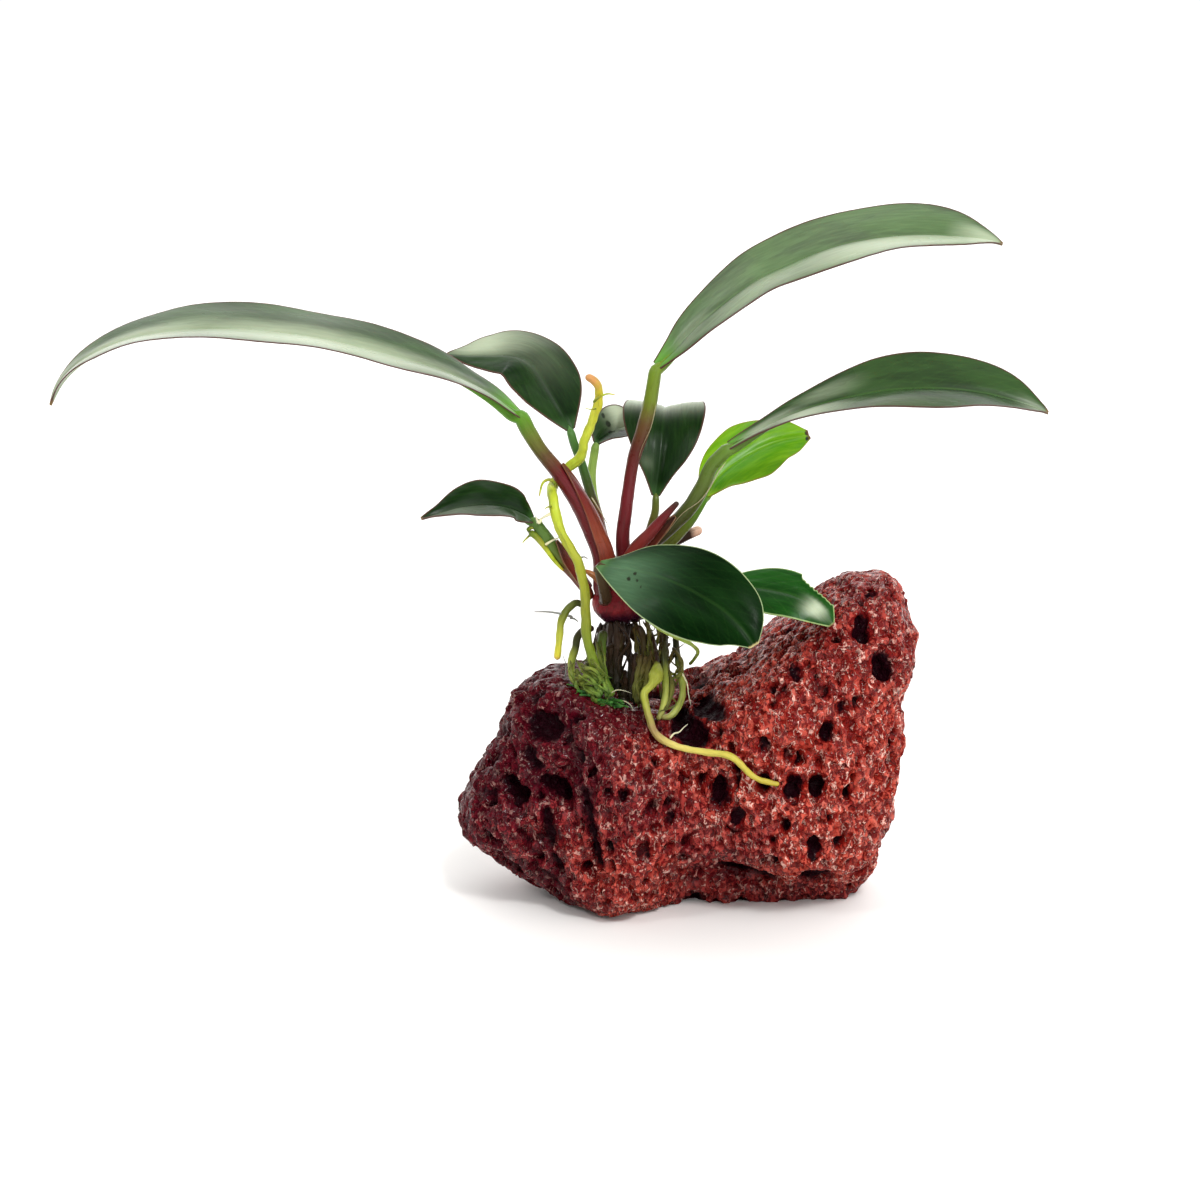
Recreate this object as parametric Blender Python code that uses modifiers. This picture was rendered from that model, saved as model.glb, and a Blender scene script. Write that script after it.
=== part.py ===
"""An anubias grown on a lump of red lava stone.

Run it with: blender --background --python part.py
Metres, +Z up. The front of the plant faces -Y. The origin is on the flat under the stone.
The tables give places in millimetres, and mm() turns them into metres.
"""

import math
import random
from dataclasses import dataclass

import bmesh
import bpy
import numpy as np
from mathutils import Vector, noise
from mathutils.bvhtree import BVHTree

MM = 0.001
GAP = 0.3 * MM

# The stone: its outline seen from the front, its thickness and how finely it is faceted.
STONE_CENTRE = (0.0, 0.0, 24.0)
STONE_OUTLINE = (
    (38.4, 44.5), (37.2, 40), (35.5, 36), (35.8, 27), (33.8, 17), (32, 9), (30, 3), (27, -1), (19, -2.5),
    (10, -2.5), (0, -2.5), (-8, -2.5), (-15, -1.8), (-21, 0), (-27, 2.5), (-33, 6.5), (-37, 9.5),
    (-38.5, 13), (-38, 16), (-35.5, 21), (-32, 26), (-29.8, 30), (-28.5, 34), (-24, 37.4),
    (-19.5, 38), (-15.5, 36), (-10, 33.6), (-3, 33.8), (3, 36.6), (9, 39.8), (12, 43), (17, 46.2),
    (21.5, 50.2), (26, 53), (31.5, 52.8), (34.5, 50.4), (36, 47.6),
)
STONE_FRONT_DEPTH = 19.0
STONE_BACK_DEPTH = 20.0
STONE_SQUARENESS = 0.74
STONE_FACING = (1.0, 1.6, 1.0)
STONE_FINENESS = 7
STONE_FACES = 4700
GROUND_BLOCK = (200, 200, 40)

# Its roughness: the size and the height of the broad waves and of the small ones.
BROAD_WAVES = (13.0, 1.5)
SMALL_WAVES = (3.1, 0.5)

# The larger bubbles of its sides and back: how many, how wide, how much taller than wide, and how deep.
PIT_SEED = 11
PIT_COUNT = 150
PIT_RADII = (1.1, 2.3)
PIT_SHRINKS = (0.6, 1.0)
PIT_STRETCHES = (1.0, 2.0)
PIT_REACH = 1.25
PIT_DEPTH = 1.4
PIT_STEEPNESS = 0.7
PIT_SAME_SIDE = 0.3
PIT_FRONT = -0.45

# The caves torn open in its front: where each starts and ends on the face, its half width and its depth.
FRONT_CAVES = (
    ((29.5, 55.2), (29.5, 54.0), 1.1, 2.5), ((27.6, 49.4), (27.4, 47.6), 1.3, 3.0),
    ((30.8, 43.0), (31.2, 41.6), 1.8, 3.0), ((21.5, 33.7), (21.5, 32.3), 1.0, 3.0),
    ((11.4, 31.7), (11.2, 30.3), 0.9, 2.2), ((20.2, 24.4), (20.0, 23.2), 1.1, 3.4),
    ((16.6, 24.6), (16.2, 23.0), 1.5, 2.6), ((4.6, 23.2), (4.4, 21.4), 1.6, 2.6),
    ((19.7, 14.6), (20.2, 13.0), 1.0, 3.2), ((19.5, 6.5), (22.0, 6.0), 1.8, 2.4),
    ((-24.8, 38.8), (-22.4, 38.9), 1.2, 2.2), ((-25.6, 32.2), (-23.4, 32.0), 2.0, 3.0),
    ((-29.8, 22.2), (-28.2, 20.8), 1.5, 3.6), ((-23.8, 23.6), (-20.4, 21.4), 1.1, 3.8),
    ((-34.4, 20.2), (-32.6, 20.4), 0.9, 1.8), ((2.0, 35.4), (4.0, 35.2), 1.6, 3.0),
    ((-1.4, 32.6), (0.6, 31.4), 2.2, 3.6), ((-27.5, 27.6), (-25.4, 25.8), 1.0, 2.4),
    ((-23.7, 18.8), (-23.3, 13.1), 1.0, 2.2), ((-22.8, 10.6), (-21.5, 8.1), 0.9, 1.8),
    ((-31.9, 9.0), (-29.1, 6.8), 1.1, 2.2), ((-3.6, 18.8), (-3.4, 18.0), 0.9, 2.2),
    ((7.1, 18.7), (7.1, 17.6), 1.0, 2.4), ((14.9, 29.6), (14.9, 29.0), 0.9, 2.2),
    ((5.6, 7.6), (13.7, 5.5), 1.3, 2.4), ((28.1, 5.8), (29.1, 6.3), 0.9, 1.8),
    ((16.2, 42.6), (16.4, 41.7), 1.0, 2.4), ((23.9, 37.0), (24.0, 36.2), 0.9, 2.4),
)
CAVE_FACING = -0.35
CAVE_REACH = 1.2
CAVE_STEEPNESS = 0.6

# Swellings and hollows of the stone: where each starts and ends, its radius and its height.
STONE_LUMPS = (
    ((-12, -17, 7), (-11, -18, 20), 8.0, 4.5),
    ((-29, -8, 17), (-26, -6, 26), 8.0, 2.0),
    ((18, -19, 16), (22, -16, 34), 12.0, 4.0),
    ((29, -8, 50), (30, 6, 50), 6.0, 2.0),
    ((1, -20, 27), (3, -17, 8), 5.0, -2.0),
    ((0, -22, 1), (9, -20, 1), 6.5, -10.0),
    ((14, -22, 0), (29, -20, 0), 6.0, -6.0),
    ((2, -13, -1), (27, -12, -1), 6.0, -4.0),
    ((-21, -17, 24), (-16, -19, 8), 2.6, -3.0),
    ((-30, -14, 22), (-25, -17, 13), 2.6, -1.8),
    ((4, -14, 31), (9, -13, 33), 3.0, -3.0),
    ((-9, -2, 34), (0, -2, 34), 6.0, -1.5),
    ((33, -10, 33), (34, 8, 28), 4.0, -2.0),
    ((-16, 18, 12), (-10, 19, 24), 9.0, 4.0),
    ((14, 18, 10), (20, 17, 26), 10.0, 3.5),
    ((-2, 21, 26), (0, 19, 6), 5.0, -4.0),
    ((22, 12, 44), (30, 10, 42), 7.0, 2.5),
)

# The rhizome: a short creeping stem, whose left end is the red growing tip.
RHIZOME_LINE = (
    (-16.2, -0.9, 49.5), (-13.9, -0.8, 49.7), (-10.2, 0.4, 49.9), (-6.2, 1.6, 50.2), (-2.6, 2.4, 50.7),
)
RHIZOME_RADII = (2.9, 3.6, 3.7, 3.1, 2.2)
RHIZOME_RESOLUTION = 3
RHIZOME_RINGS = 8
RING_HEIGHT = 0.03
END_BLUNTNESS = 6
END_WIDTH = 0.12

LEAF_THICKNESS = 0.5
LEAF_CELLS_ACROSS = 4
BITE_ROUNDNESS = 0.3

# How finely the smooth lines are worked out, and the shine of each kind of surface.
CURVE_STEPS = 24
MIDRIB_STEPS = 121
PROFILE_STEPS = 101
STONE_ROUGHNESS = 0.6
STEM_ROUGHNESS = 0.45
BLADE_ROUGHNESS = 0.35


@dataclass(frozen=True)
class Leaf:
    """One blade: its midrib's line, its half widths from base to tip, and the way its upper face looks."""

    name: str
    midrib: tuple
    widths: tuple
    face_base: tuple
    face_tip: tuple
    fold: float = 0.0
    cup: float = 0.0
    stations: int = 9
    bite: tuple = ()


@dataclass(frozen=True)
class Tube:
    """A stalk or a root: its line, its radii from start to end, and how finely it is made."""

    name: str
    line: tuple
    radii: tuple
    colour: tuple
    points: int = 8
    resolution: int = 1
    settles: str = ""


# A bite is where it starts and ends along the blade, the share of the width that it leaves, and its side.
LEAVES = (
    Leaf(
        "leaf_long_left",
        ((-27.7, -5, 81.5), (-32.3, -6, 85.3), (-38.3, -7.5, 88.7), (-44.2, -8.5, 90.9),
         (-53.3, -9.5, 93.5), (-62.2, -10.5, 95.4), (-71.5, -11.5, 96.4), (-79.3, -12, 96.4),
         (-85.6, -12, 95.6), (-90.3, -12, 94.4), (-94.3, -12, 92.6), (-97.6, -12, 90.4),
         (-100.2, -12, 87.6), (-102, -12, 84.2)),
        (1.2, 4.3, 6.3, 7.5, 8.2, 8.2, 6.8, 3.6, 0.3),
        (-0.1, -0.35, 1), (-0.3, -0.2, 1), fold=5, cup=0.03, stations=13,
    ),
    Leaf(
        "leaf_upper_left",
        ((-19.7, 5.2, 77.7), (-20.9, 7, 80.0), (-22.5, 10, 82.6), (-24.3, 13, 85.0), (-26.6, 15, 87.2),
         (-29.2, 16.5, 88.8), (-33.3, 17, 89.4), (-37.1, 17, 89.4), (-40.6, 17, 89)),
        (0.8, 3.2, 5.1, 6.1, 6.4, 6.2, 5.2, 3.2, 0.4),
        (0.1, -0.9, 0.5), (0.2, -0.4, 1), fold=4,
    ),
    Leaf(
        "leaf_small_back",
        ((-15.4, 9.4, 74.8), (-14.3, 12, 75.7), (-12.2, 15, 76.4), (-10, 18, 76.5), (-7.6, 21, 75.8)),
        (0.8, 3.0, 4.1, 3.6, 0.3),
        (0.1, -0.7, 0.7), (0.3, -0.5, 0.9), fold=20, stations=7,
    ),
    Leaf(
        "leaf_back_centre",
        ((-5.6, 6, 66.4), (-5.1, 7, 70.6), (-4.5, 9, 75.3), (-4.2, 12, 78.7), (-3.9, 16, 80.2),
         (-3.6, 20, 79.6), (-3.5, 24, 77.9)),
        (0.7, 2.4, 4.5, 6.0, 6.8, 6.9, 6.0, 3.8, 0.3),
        (0, -1, 0.4), (0, -0.1, 1), fold=4,
    ),
    Leaf(
        "leaf_long_upper_right",
        ((-5.5, 4, 88.3), (-2.6, 4.5, 91.2), (1.6, 5, 95.6), (9.4, 5.5, 101.8), (15.3, 5.5, 104.8),
         (23.1, 5, 108), (30.8, 4, 109.6), (38.5, 2, 110.2), (46, 0, 109.6), (49.7, -1, 108.7)),
        (1.1, 3.4, 5.0, 6.0, 6.6, 7.2, 7.3, 5.4, 0.3),
        (-0.3, -0.6, 0.8), (0.3, -0.5, 1), fold=9, stations=13,
    ),
    Leaf(
        "leaf_long_lower_right",
        ((5.9, -5, 76.4), (10.6, -6, 79.4), (16.4, -7, 82.4), (23.2, -8, 84.7), (30.6, -9.5, 86.4),
         (37.4, -11, 87), (44.4, -12, 86.6), (50.6, -13, 85.2), (55.9, -13.5, 83.2)),
        (1.0, 1.6, 3.0, 4.9, 6.3, 7.1, 6.7, 4.6, 0.3),
        (-0.3, -0.5, 0.8), (0.3, -0.6, 1), fold=12, stations=13,
    ),
    Leaf(
        "leaf_young_lime",
        ((2.4, 2, 67.2), (4.9, 4, 70.4), (9.1, 6, 73.2), (14.2, 8, 75.3), (20, 10, 76.1)),
        (0.9, 3.0, 4.6, 5.4, 5.8, 5.1, 3.9, 2.9, 0.8),
        (-0.4, -0.8, 0.6), (-0.1, -0.8, 0.6), fold=3,
    ),
    Leaf(
        "leaf_front",
        ((-15.1, -9, 58), (-11.6, -12, 58.2), (-7.6, -14.5, 57.8), (-3.4, -17, 56.8), (0.8, -19, 55.1),
         (4.7, -21, 52.9), (7.5, -22.5, 50.4), (9.4, -23.5, 47.7)),
        (0.9, 3.5, 5.8, 7.2, 7.8, 7.6, 6.6, 4.8, 0.8),
        (0, -0.7, 0.8), (0.1, -1, 0.3), fold=-8, cup=-0.08, stations=11,
    ),
    Leaf(
        "leaf_right_torn",
        ((4.8, -9, 54.8), (8.4, -10.6, 54.8), (12.4, -12.6, 54.7), (16.5, -14.6, 54.0),
         (19.7, -16, 52.3), (22.1, -17, 49.6)),
        (0.8, 3.0, 4.2, 4.9, 5.0, 4.6, 3.9, 2.8, 0.6),
        (0, -0.6, 0.8), (0.2, -0.7, 0.7), fold=-8, bite=(0.58, 0.88, 0.66, -1),
    ),
    Leaf(
        "leaf_small_left",
        ((-25.7, -4, 64.2), (-27.2, -5, 65.6), (-29.7, -6, 67.0), (-33.2, -8, 67.8), (-37, -9.5, 67.6),
         (-40.4, -11, 66.8), (-43.4, -12, 66)),
        (0.8, 2.8, 4.1, 4.7, 4.6, 3.9, 2.6, 1.3, 0.3),
        (0, -0.6, 0.8), (-0.1, -0.5, 0.9), fold=10,
    ),
)

RED = (0.20, 0.03, 0.02, 1)
GREEN_STALK = (0.10, 0.16, 0.03, 1)
LEAF_GREEN = (0.02, 0.09, 0.03, 1)
LIME = (0.25, 0.50, 0.01, 1)
ROOT_LIME = (0.55, 0.60, 0.06, 1)
ROOT_OLIVE = (0.16, 0.18, 0.04, 1)
STONE_RED = (0.16, 0.04, 0.03, 1)
BROWN = (0.09, 0.03, 0.02, 1)

# Leaf stalks, from the crown up to the blade, then the sheath of an old leaf and the stub of a cut one.
STALKS = (
    Tube(
        "stalk_long_left",
        ((-14.2, -2.2, 53.6), (-14.4, -1.9, 57.7), (-15.8, -1.5, 61.5), (-17.6, -1.6, 65.4),
         (-19.7, -2, 68.9), (-21.8, -2.6, 72), (-24.4, -3.5, 75.4), (-26.3, -4.3, 78.6),
         (-27.5, -4.9, 81.1)),
        (1.8, 1.7, 1.6, 1.3, 1.2, 1.3), RED, 9, 2,
    ),
    Tube(
        "stalk_upper_left",
        ((-12.7, 2.3, 53.2), (-14.2, 4, 58), (-15.3, 4.5, 63.4), (-16.5, 5, 67.2), (-17.8, 5, 71.7),
         (-19.1, 5, 75.2), (-19.6, 5, 77)),
        (0.8, 0.9, 0.8, 0.7), GREEN_STALK,
    ),
    Tube(
        "stalk_small_back",
        ((-10.6, 3.5, 53.0), (-13.4, 6.5, 56.8), (-14.9, 7.5, 62), (-16, 8, 66.2), (-16.2, 9, 69.9),
         (-15.6, 9.2, 74.2)),
        (0.7, 0.8, 0.7), GREEN_STALK,
    ),
    Tube(
        "stalk_back_centre",
        ((-7.7, 3.8, 53.1), (-7.4, 5.3, 57), (-6.5, 5.7, 60.7), (-5.7, 6, 63.7), (-5.6, 6, 65.9)),
        (0.8, 0.8, 0.6), GREEN_STALK, 7,
    ),
    Tube(
        "stalk_long_upper_right",
        ((-10.6, 0.3, 54.0), (-11.0, 0.3, 57.5), (-11.1, 0, 61.2), (-10.6, 0, 65.2), (-10.1, 0.8, 68.9),
         (-9.3, 1.6, 73.4), (-7.8, 2.2, 78), (-6.7, 3, 82.1), (-5.8, 3.9, 87.5)),
        (1.3, 1.1, 1.0, 1.2, 1.1), RED, 9, 2,
    ),
    Tube(
        "stalk_long_lower_right",
        ((-8.0, -1.8, 53.5), (-8.1, -2.1, 57.8), (-5.9, -2.4, 60.4), (-3.6, -3, 62.6), (-0.4, -3.6, 66),
         (1.8, -4.2, 69.8), (3.2, -4.6, 73.1), (5.5, -5, 75.7)),
        (1.0, 1.2, 1.25, 1.1), GREEN_STALK, 8, 2,
    ),
    Tube(
        "stalk_young_lime",
        ((-5.0, 2.0, 53.7), (-4.6, 2, 57.5), (-2.3, 1.8, 60.4), (0.0, 1.8, 63.1), (2.1, 2, 66.6)),
        (0.9, 1.0, 0.9), GREEN_STALK, 7,
    ),
    Tube(
        "stalk_front",
        ((-13.9, -5.2, 51.4), (-14.4, -7.0, 54.3), (-15.0, -8.7, 57.3)),
        (1.0, 0.9, 0.9), GREEN_STALK, 5,
    ),
    Tube(
        "stalk_right_torn",
        ((-5.4, -2.0, 52.0), (-0.6, -6.2, 53.6), (4.3, -8.7, 54.7)),
        (0.9, 0.8, 0.7), GREEN_STALK, 6,
    ),
    Tube(
        "stalk_small_left",
        ((-17.3, -0.9, 52.3), (-19.3, -1.9, 55.2), (-21.6, -2.6, 57.9), (-23.5, -3.4, 60.9),
         (-25.3, -3.9, 63.7)),
        (1.0, 1.2, 1.2, 0.9), GREEN_STALK, 7,
    ),
    Tube(
        "stalk_sheath",
        ((-10.8, -3.5, 53.8), (-10.4, -4.2, 56.8), (-9, -4.9, 59.6), (-6.7, -5.2, 62.2),
         (-4.5, -5.5, 64.9), (-2.2, -5.6, 67.4)),
        (1.2, 1.2, 0.9, 0.4), RED, 7,
    ),
    Tube(
        "stalk_stub",
        ((-3.8, 4.2, 53.0), (-3.7, 5.0, 57.6), (-0.9, 5.3, 59.6), (2.1, 5.6, 60.9)),
        (1.1, 0.9, 0.8), BROWN, 6,
    ),
)

# Roots, from the rhizome to their tips. Where one would be in the stone, it is moved out to lie on it,
# along this direction: down onto the top, or back onto the front.
SETTLE_DIRECTIONS = {"top": (0, 0, -1), "front": (0, 1, 0)}
SETTLE_REACH = 60.0
SETTLE_SLACK = 1.08
SETTLE_TRIES = 4
ROOTS = (
    Tube(
        "root_climbing",
        ((-14.4, -8.4, 33.6), (-15.0, -8.4, 38.0), (-16.2, -8.2, 42.6), (-17.1, -8, 46.1),
         (-17.2, -7.8, 51.7), (-17.6, -7.4, 54.6), (-18.4, -6.8, 57.7), (-20, -6.4, 60.5),
         (-21.3, -6, 62.9), (-22, -5.4, 65.4), (-22.4, -4.6, 67.2), (-22.6, -1.6, 68.8),
         (-21.9, 0.9, 70.2), (-20.3, 2.2, 71.6), (-18.2, 2.6, 73.1), (-17.6, 2.2, 75.5),
         (-16.3, 1.8, 79.1), (-15.3, 0.4, 82.3), (-15, -1, 85), (-15.8, -2.2, 86.9), (-17.1, -3, 87.5)),
        (0.85, 0.7, 0.7, 0.75, 0.65, 0.6), ROOT_LIME, 24, 1, "top",
    ),
    Tube(
        "root_hanging",
        ((-17.5, -4.4, 50.0), (-18.8, -5, 50.6), (-20.2, -5.4, 49.5), (-21.2, -5.8, 47.6),
         (-21.5, -6, 44.6), (-21.9, -6.2, 41.3)),
        (0.55, 0.65, 0.5), ROOT_OLIVE, 9,
    ),
    Tube(
        "root_over_stone",
        ((-6.6, -1.6, 45.4), (-5.8, -6, 44.0), (-5.6, -9.6, 42.6), (-5.9, -12, 40.4),
         (-7.4, -12.8, 37.8), (-7.3, -13.6, 35.4), (-6.8, -15, 33.2), (-5.8, -16.6, 31.4),
         (-3.8, -18, 30.4), (-1, -18.6, 29.6), (2.6, -19.4, 29.2), (5.4, -20, 29.0), (7.2, -20.6, 28.0),
         (8.9, -21, 26.2), (10.8, -21.4, 25.2), (13.7, -21.6, 24.6)),
        (0.6, 0.85, 0.6, 0.55, 0.55, 0.45), ROOT_LIME, 28, 1, "front",
    ),
    Tube(
        "root_loop_left",
        ((-4.0, -4.4, 45.6), (-4.2, -8, 42.4), (-3.7, -10.5, 37.6), (-4.3, -11.5, 35.2),
         (-5.6, -12.6, 32.0)),
        (0.5, 0.55, 0.5), ROOT_OLIVE, 10, 1, "top",
    ),
    Tube(
        "root_loop_right",
        ((-2.6, -1.6, 46.4), (-2.2, -6, 42.0), (-1.6, -8, 37.4), (-2, -9.5, 34.6), (-3.3, -10.5, 32.2)),
        (0.5, 0.55, 0.5), ROOT_OLIVE, 10, 1, "top",
    ),
    Tube(
        "root_left_outer",
        ((-15.8, -4.2, 46.2), (-18.1, -4.6, 45.6), (-18.9, -4.8, 42.9), (-19.6, -5, 40),
         (-19.1, -6, 37.2), (-18, -8, 34.2)),
        (0.6, 0.65, 0.6), ROOT_OLIVE, 10, 1, "top",
    ),
    Tube(
        "root_left_inner",
        ((-14.2, -4.2, 45.8), (-14.6, -4.6, 43.4), (-14.6, -4.8, 39.8), (-12.8, -7, 33.4)),
        (0.7, 0.8, 0.8), ROOT_OLIVE, 8, 1, "top",
    ),
    Tube(
        "root_left_back",
        ((-13.9, 1, 45.6), (-14.9, 2, 42.8), (-16.5, 2.5, 39.6), (-17.5, 2, 35.3)),
        (0.7, 0.7, 0.6), ROOT_OLIVE, 7, 1, "top",
    ),
    Tube(
        "root_prop_front",
        ((-11.7, -2.6, 45.6), (-11.9, -3, 43.1), (-12.0, -3.6, 39.4), (-10.6, -5.6, 33.0)),
        (0.9, 0.8, 0.8), ROOT_OLIVE, 7, 1, "top",
    ),
    Tube(
        "root_prop_back",
        ((-9.9, 1.5, 45.7), (-9.4, 1.5, 43.7), (-8, 1.4, 41.6), (-8.5, 0.4, 38.5), (-8.2, -1, 33)),
        (0.7, 0.6, 0.6), ROOT_OLIVE, 8, 1, "top",
    ),
    Tube(
        "root_prop_right",
        ((-8.5, -2.4, 46.2), (-7.8, -3.4, 44.8), (-7.6, -4.4, 41), (-8.3, -6, 33.8)),
        (0.6, 0.6, 0.6), ROOT_OLIVE, 7, 1, "top",
    ),
    Tube(
        "root_prop_far",
        ((-5.2, 1.8, 46.8), (-4.6, 1.4, 43), (-3.9, 0.6, 39.8), (-3.6, -1, 34)),
        (0.6, 0.6, 0.5), ROOT_OLIVE, 7, 1, "top",
    ),
    Tube(
        "root_thin_right",
        ((-7.0, -2.6, 47.4), (-5.4, -5.6, 46.6), (-3.1, -6.8, 45.6), (-0.7, -7.4, 44.6),
         (0.8, -7.4, 43.6), (1.1, -7, 42.7), (0.6, -6.4, 41.6), (-0.2, -5.6, 40.4)),
        (0.35, 0.4, 0.35, 0.25), ROOT_OLIVE, 10, 1, "top",
    ),
)


def mm(values):
    """Millimetres as metres."""
    return tuple(v * MM for v in values)


def smooth_through(points, count):
    """A smooth curve through the points, as evenly spaced points."""
    p = np.array(points, float)
    p = np.vstack([2 * p[0] - p[1], p, 2 * p[-1] - p[-2]])
    t = np.linspace(0, 1, CURVE_STEPS, endpoint=False)[:, None]
    spans = []
    for a, b, c, d in zip(p, p[1:], p[2:], p[3:]):
        bend = (2 * a - 5 * b + 4 * c - d) * t**2
        twist = (3 * b - 3 * c + d - a) * t**3
        spans.append(0.5 * (2 * b + (c - a) * t + bend + twist))
    dense = np.vstack([*spans, p[-2]])
    along = np.concatenate([[0], np.cumsum(np.linalg.norm(np.diff(dense, axis=0), axis=1))])
    wanted = np.linspace(0, along[-1], count)
    return np.column_stack([np.interp(wanted, along, dense[:, k]) for k in range(3)])


def clear_scene():
    """Removes what the scene starts with."""
    for obj in list(bpy.data.objects):
        bpy.data.objects.remove(obj, do_unlink=True)


def new_collection(name, hidden=False):
    """A collection linked to the scene."""
    made = bpy.data.collections.new(name)
    bpy.context.scene.collection.children.link(made)
    made.hide_render = hidden
    return made


def plain_material(name, colour, roughness):
    """A Principled material of one colour, shared by the pieces that have it."""
    found = bpy.data.materials.get(name)
    if found:
        return found
    made = bpy.data.materials.new(name)
    made.use_nodes = True
    shader = made.node_tree.nodes["Principled BSDF"]
    shader.inputs["Base Color"].default_value = colour
    shader.inputs["Roughness"].default_value = roughness
    shader.inputs["Metallic"].default_value = 0.0
    return made


def place(name, data, collection, material):
    """An object of this data, in its collection, with its material."""
    obj = bpy.data.objects.new(name, data)
    obj.data.materials.append(material)
    collection.objects.link(obj)
    return obj


def outline_radius(angle):
    """How far the stone's outline is from its centre, at an angle in its front view."""
    corners = np.array(STONE_OUTLINE) - (STONE_CENTRE[0], STONE_CENTRE[2])
    angles = np.arctan2(corners[:, 1], corners[:, 0])
    order = np.argsort(angles)
    return np.interp(angle, angles[order], np.hypot(*corners[order].T), period=2 * math.pi)


def distance_to_run(points, start, end):
    """How far each point is from the straight run between two places."""
    first = np.array(start, float)
    run = np.array(end, float) - first
    share = np.clip((points - first) @ run / (run @ run), 0, 1)
    return np.linalg.norm(points - first - share[:, None] * run, axis=1)


def stone_form(directions):
    """The stone's large form, in millimetres, for unit vectors from its centre."""
    x, y, z = directions.T
    flat = np.hypot(x, z) ** STONE_SQUARENESS
    reach = outline_radius(np.arctan2(z, x)) * flat / np.maximum(np.hypot(x, z), 1e-9)
    depth = np.where(y < 0, STONE_FRONT_DEPTH, STONE_BACK_DEPTH)
    deep = np.sign(y) * np.abs(y) ** STONE_SQUARENESS * depth
    points = np.column_stack([x * reach, deep, z * reach]) + STONE_CENTRE
    outward = directions * STONE_FACING
    outward /= np.linalg.norm(outward, axis=1)[:, None]
    for start, end, radius, height in STONE_LUMPS:
        swell = height * np.exp(-((distance_to_run(points, start, end) / radius) ** 2))
        points = points + outward * swell[:, None]
    rough = []
    for p in points:
        broad = BROAD_WAVES[1] * noise.fractal(Vector(p) / BROAD_WAVES[0], 1.0, 2.0, 3)
        small = SMALL_WAVES[1] * noise.noise(Vector(p) / SMALL_WAVES[0])
        rough.append(broad + small)
    return points + outward * np.array(rough)[:, None], outward


def stone_pits(points, outward):
    """The larger bubbles in the stone's sides and back, as a depth at each point."""
    chance = random.Random(PIT_SEED)
    depth = np.zeros(len(points))
    for _ in range(PIT_COUNT):
        middle = chance.randrange(len(points))
        radius = chance.uniform(*PIT_RADII) * chance.uniform(*PIT_SHRINKS)
        stretch = chance.uniform(*PIT_STRETCHES)
        if outward[middle][1] < PIT_FRONT:
            continue
        gap = points - points[middle]
        gap[:, 2] /= stretch
        away = np.linalg.norm(gap, axis=1) / radius
        same_side = outward @ outward[middle] > PIT_SAME_SIDE
        bowl = np.where(same_side, np.clip(PIT_REACH - away, 0, 1), 0)
        depth = np.maximum(depth, PIT_DEPTH * radius * bowl**PIT_STEEPNESS)
    return depth


def front_caves(points, outward):
    """The caves in the stone's front, as a depth at each point."""
    depth = np.zeros(len(points))
    for (x1, z1), (x2, z2), radius, deep in FRONT_CAVES:
        away = distance_to_run(points * (1, 0, 1), (x1, 0, z1), (x2, 0, z2)) / radius
        bowl = np.where(outward[:, 1] < CAVE_FACING, np.clip(CAVE_REACH - away, 0, 1), 0)
        depth = np.maximum(depth, deep * bowl**CAVE_STEEPNESS)
    return depth


def build_stone(collection, cutters):
    """The lava stone: lumpy, pitted, and flat where it stands."""
    mesh = bpy.data.meshes.new("lava_stone")
    work = bmesh.new()
    bmesh.ops.create_icosphere(work, subdivisions=STONE_FINENESS, radius=1.0)
    directions = np.array([v.co.normalized()[:] for v in work.verts])
    points, outward = stone_form(directions)
    sunk = np.maximum(stone_pits(points, outward), front_caves(points, outward))
    points = points - outward * sunk[:, None]
    for vert, point in zip(work.verts, points):
        vert.co = Vector(point) * MM
    work.to_mesh(mesh)
    work.free()
    stone = place("lava_stone", mesh, collection, plain_material("stone", STONE_RED, STONE_ROUGHNESS))
    thin = stone.modifiers.new("coarser", "DECIMATE")
    thin.ratio = STONE_FACES / len(mesh.polygons)

    ground = bpy.data.meshes.new("ground_cutter")
    work = bmesh.new()
    bmesh.ops.create_cube(work, size=1.0)
    bmesh.ops.scale(work, vec=mm(GROUND_BLOCK), verts=work.verts)
    bmesh.ops.translate(work, vec=mm((0, 0, -GROUND_BLOCK[2] / 2)), verts=work.verts)
    work.to_mesh(ground)
    work.free()
    cutter = bpy.data.objects.new("ground_cutter", ground)
    cutter.hide_render = True
    cutter.display_type = "WIRE"
    cutters.objects.link(cutter)
    cut = stone.modifiers.new("stands_flat", "BOOLEAN")
    cut.operation = "DIFFERENCE"
    cut.solver = "EXACT"
    cut.object = cutter
    return stone


def settle_on_stone(tube, line, radii, surface):
    """Moves each point of a line that is in the stone out to where the tube lies on its surface."""
    inward = Vector(SETTLE_DIRECTIONS[tube.settles])
    for i, radius in enumerate(radii):
        point = Vector(line[i]) * MM
        clear = radius * MM * SETTLE_SLACK + GAP
        spot = surface.ray_cast(point - inward * SETTLE_REACH * MM, inward)[0]
        if spot and (point - spot).dot(inward) > -clear:
            point = spot - inward * clear
        for _ in range(SETTLE_TRIES):
            spot, normal, _, _ = surface.find_nearest(point)
            short = clear - (point - spot).dot(normal)
            if short > 0:
                point = point + normal * short
        line[i] = point / MM
    return line


def build_tube(tube, collection, surface):
    """A stalk or a root, as a bevelled curve with closed ends."""
    line = smooth_through(tube.line, tube.points)
    radii = np.interp(np.linspace(0, 1, tube.points), np.linspace(0, 1, len(tube.radii)), tube.radii)
    if tube.settles:
        line = settle_on_stone(tube, line, radii, surface)
    return curve_object(tube.name, line, radii, tube.resolution, tube.colour, collection)


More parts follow.
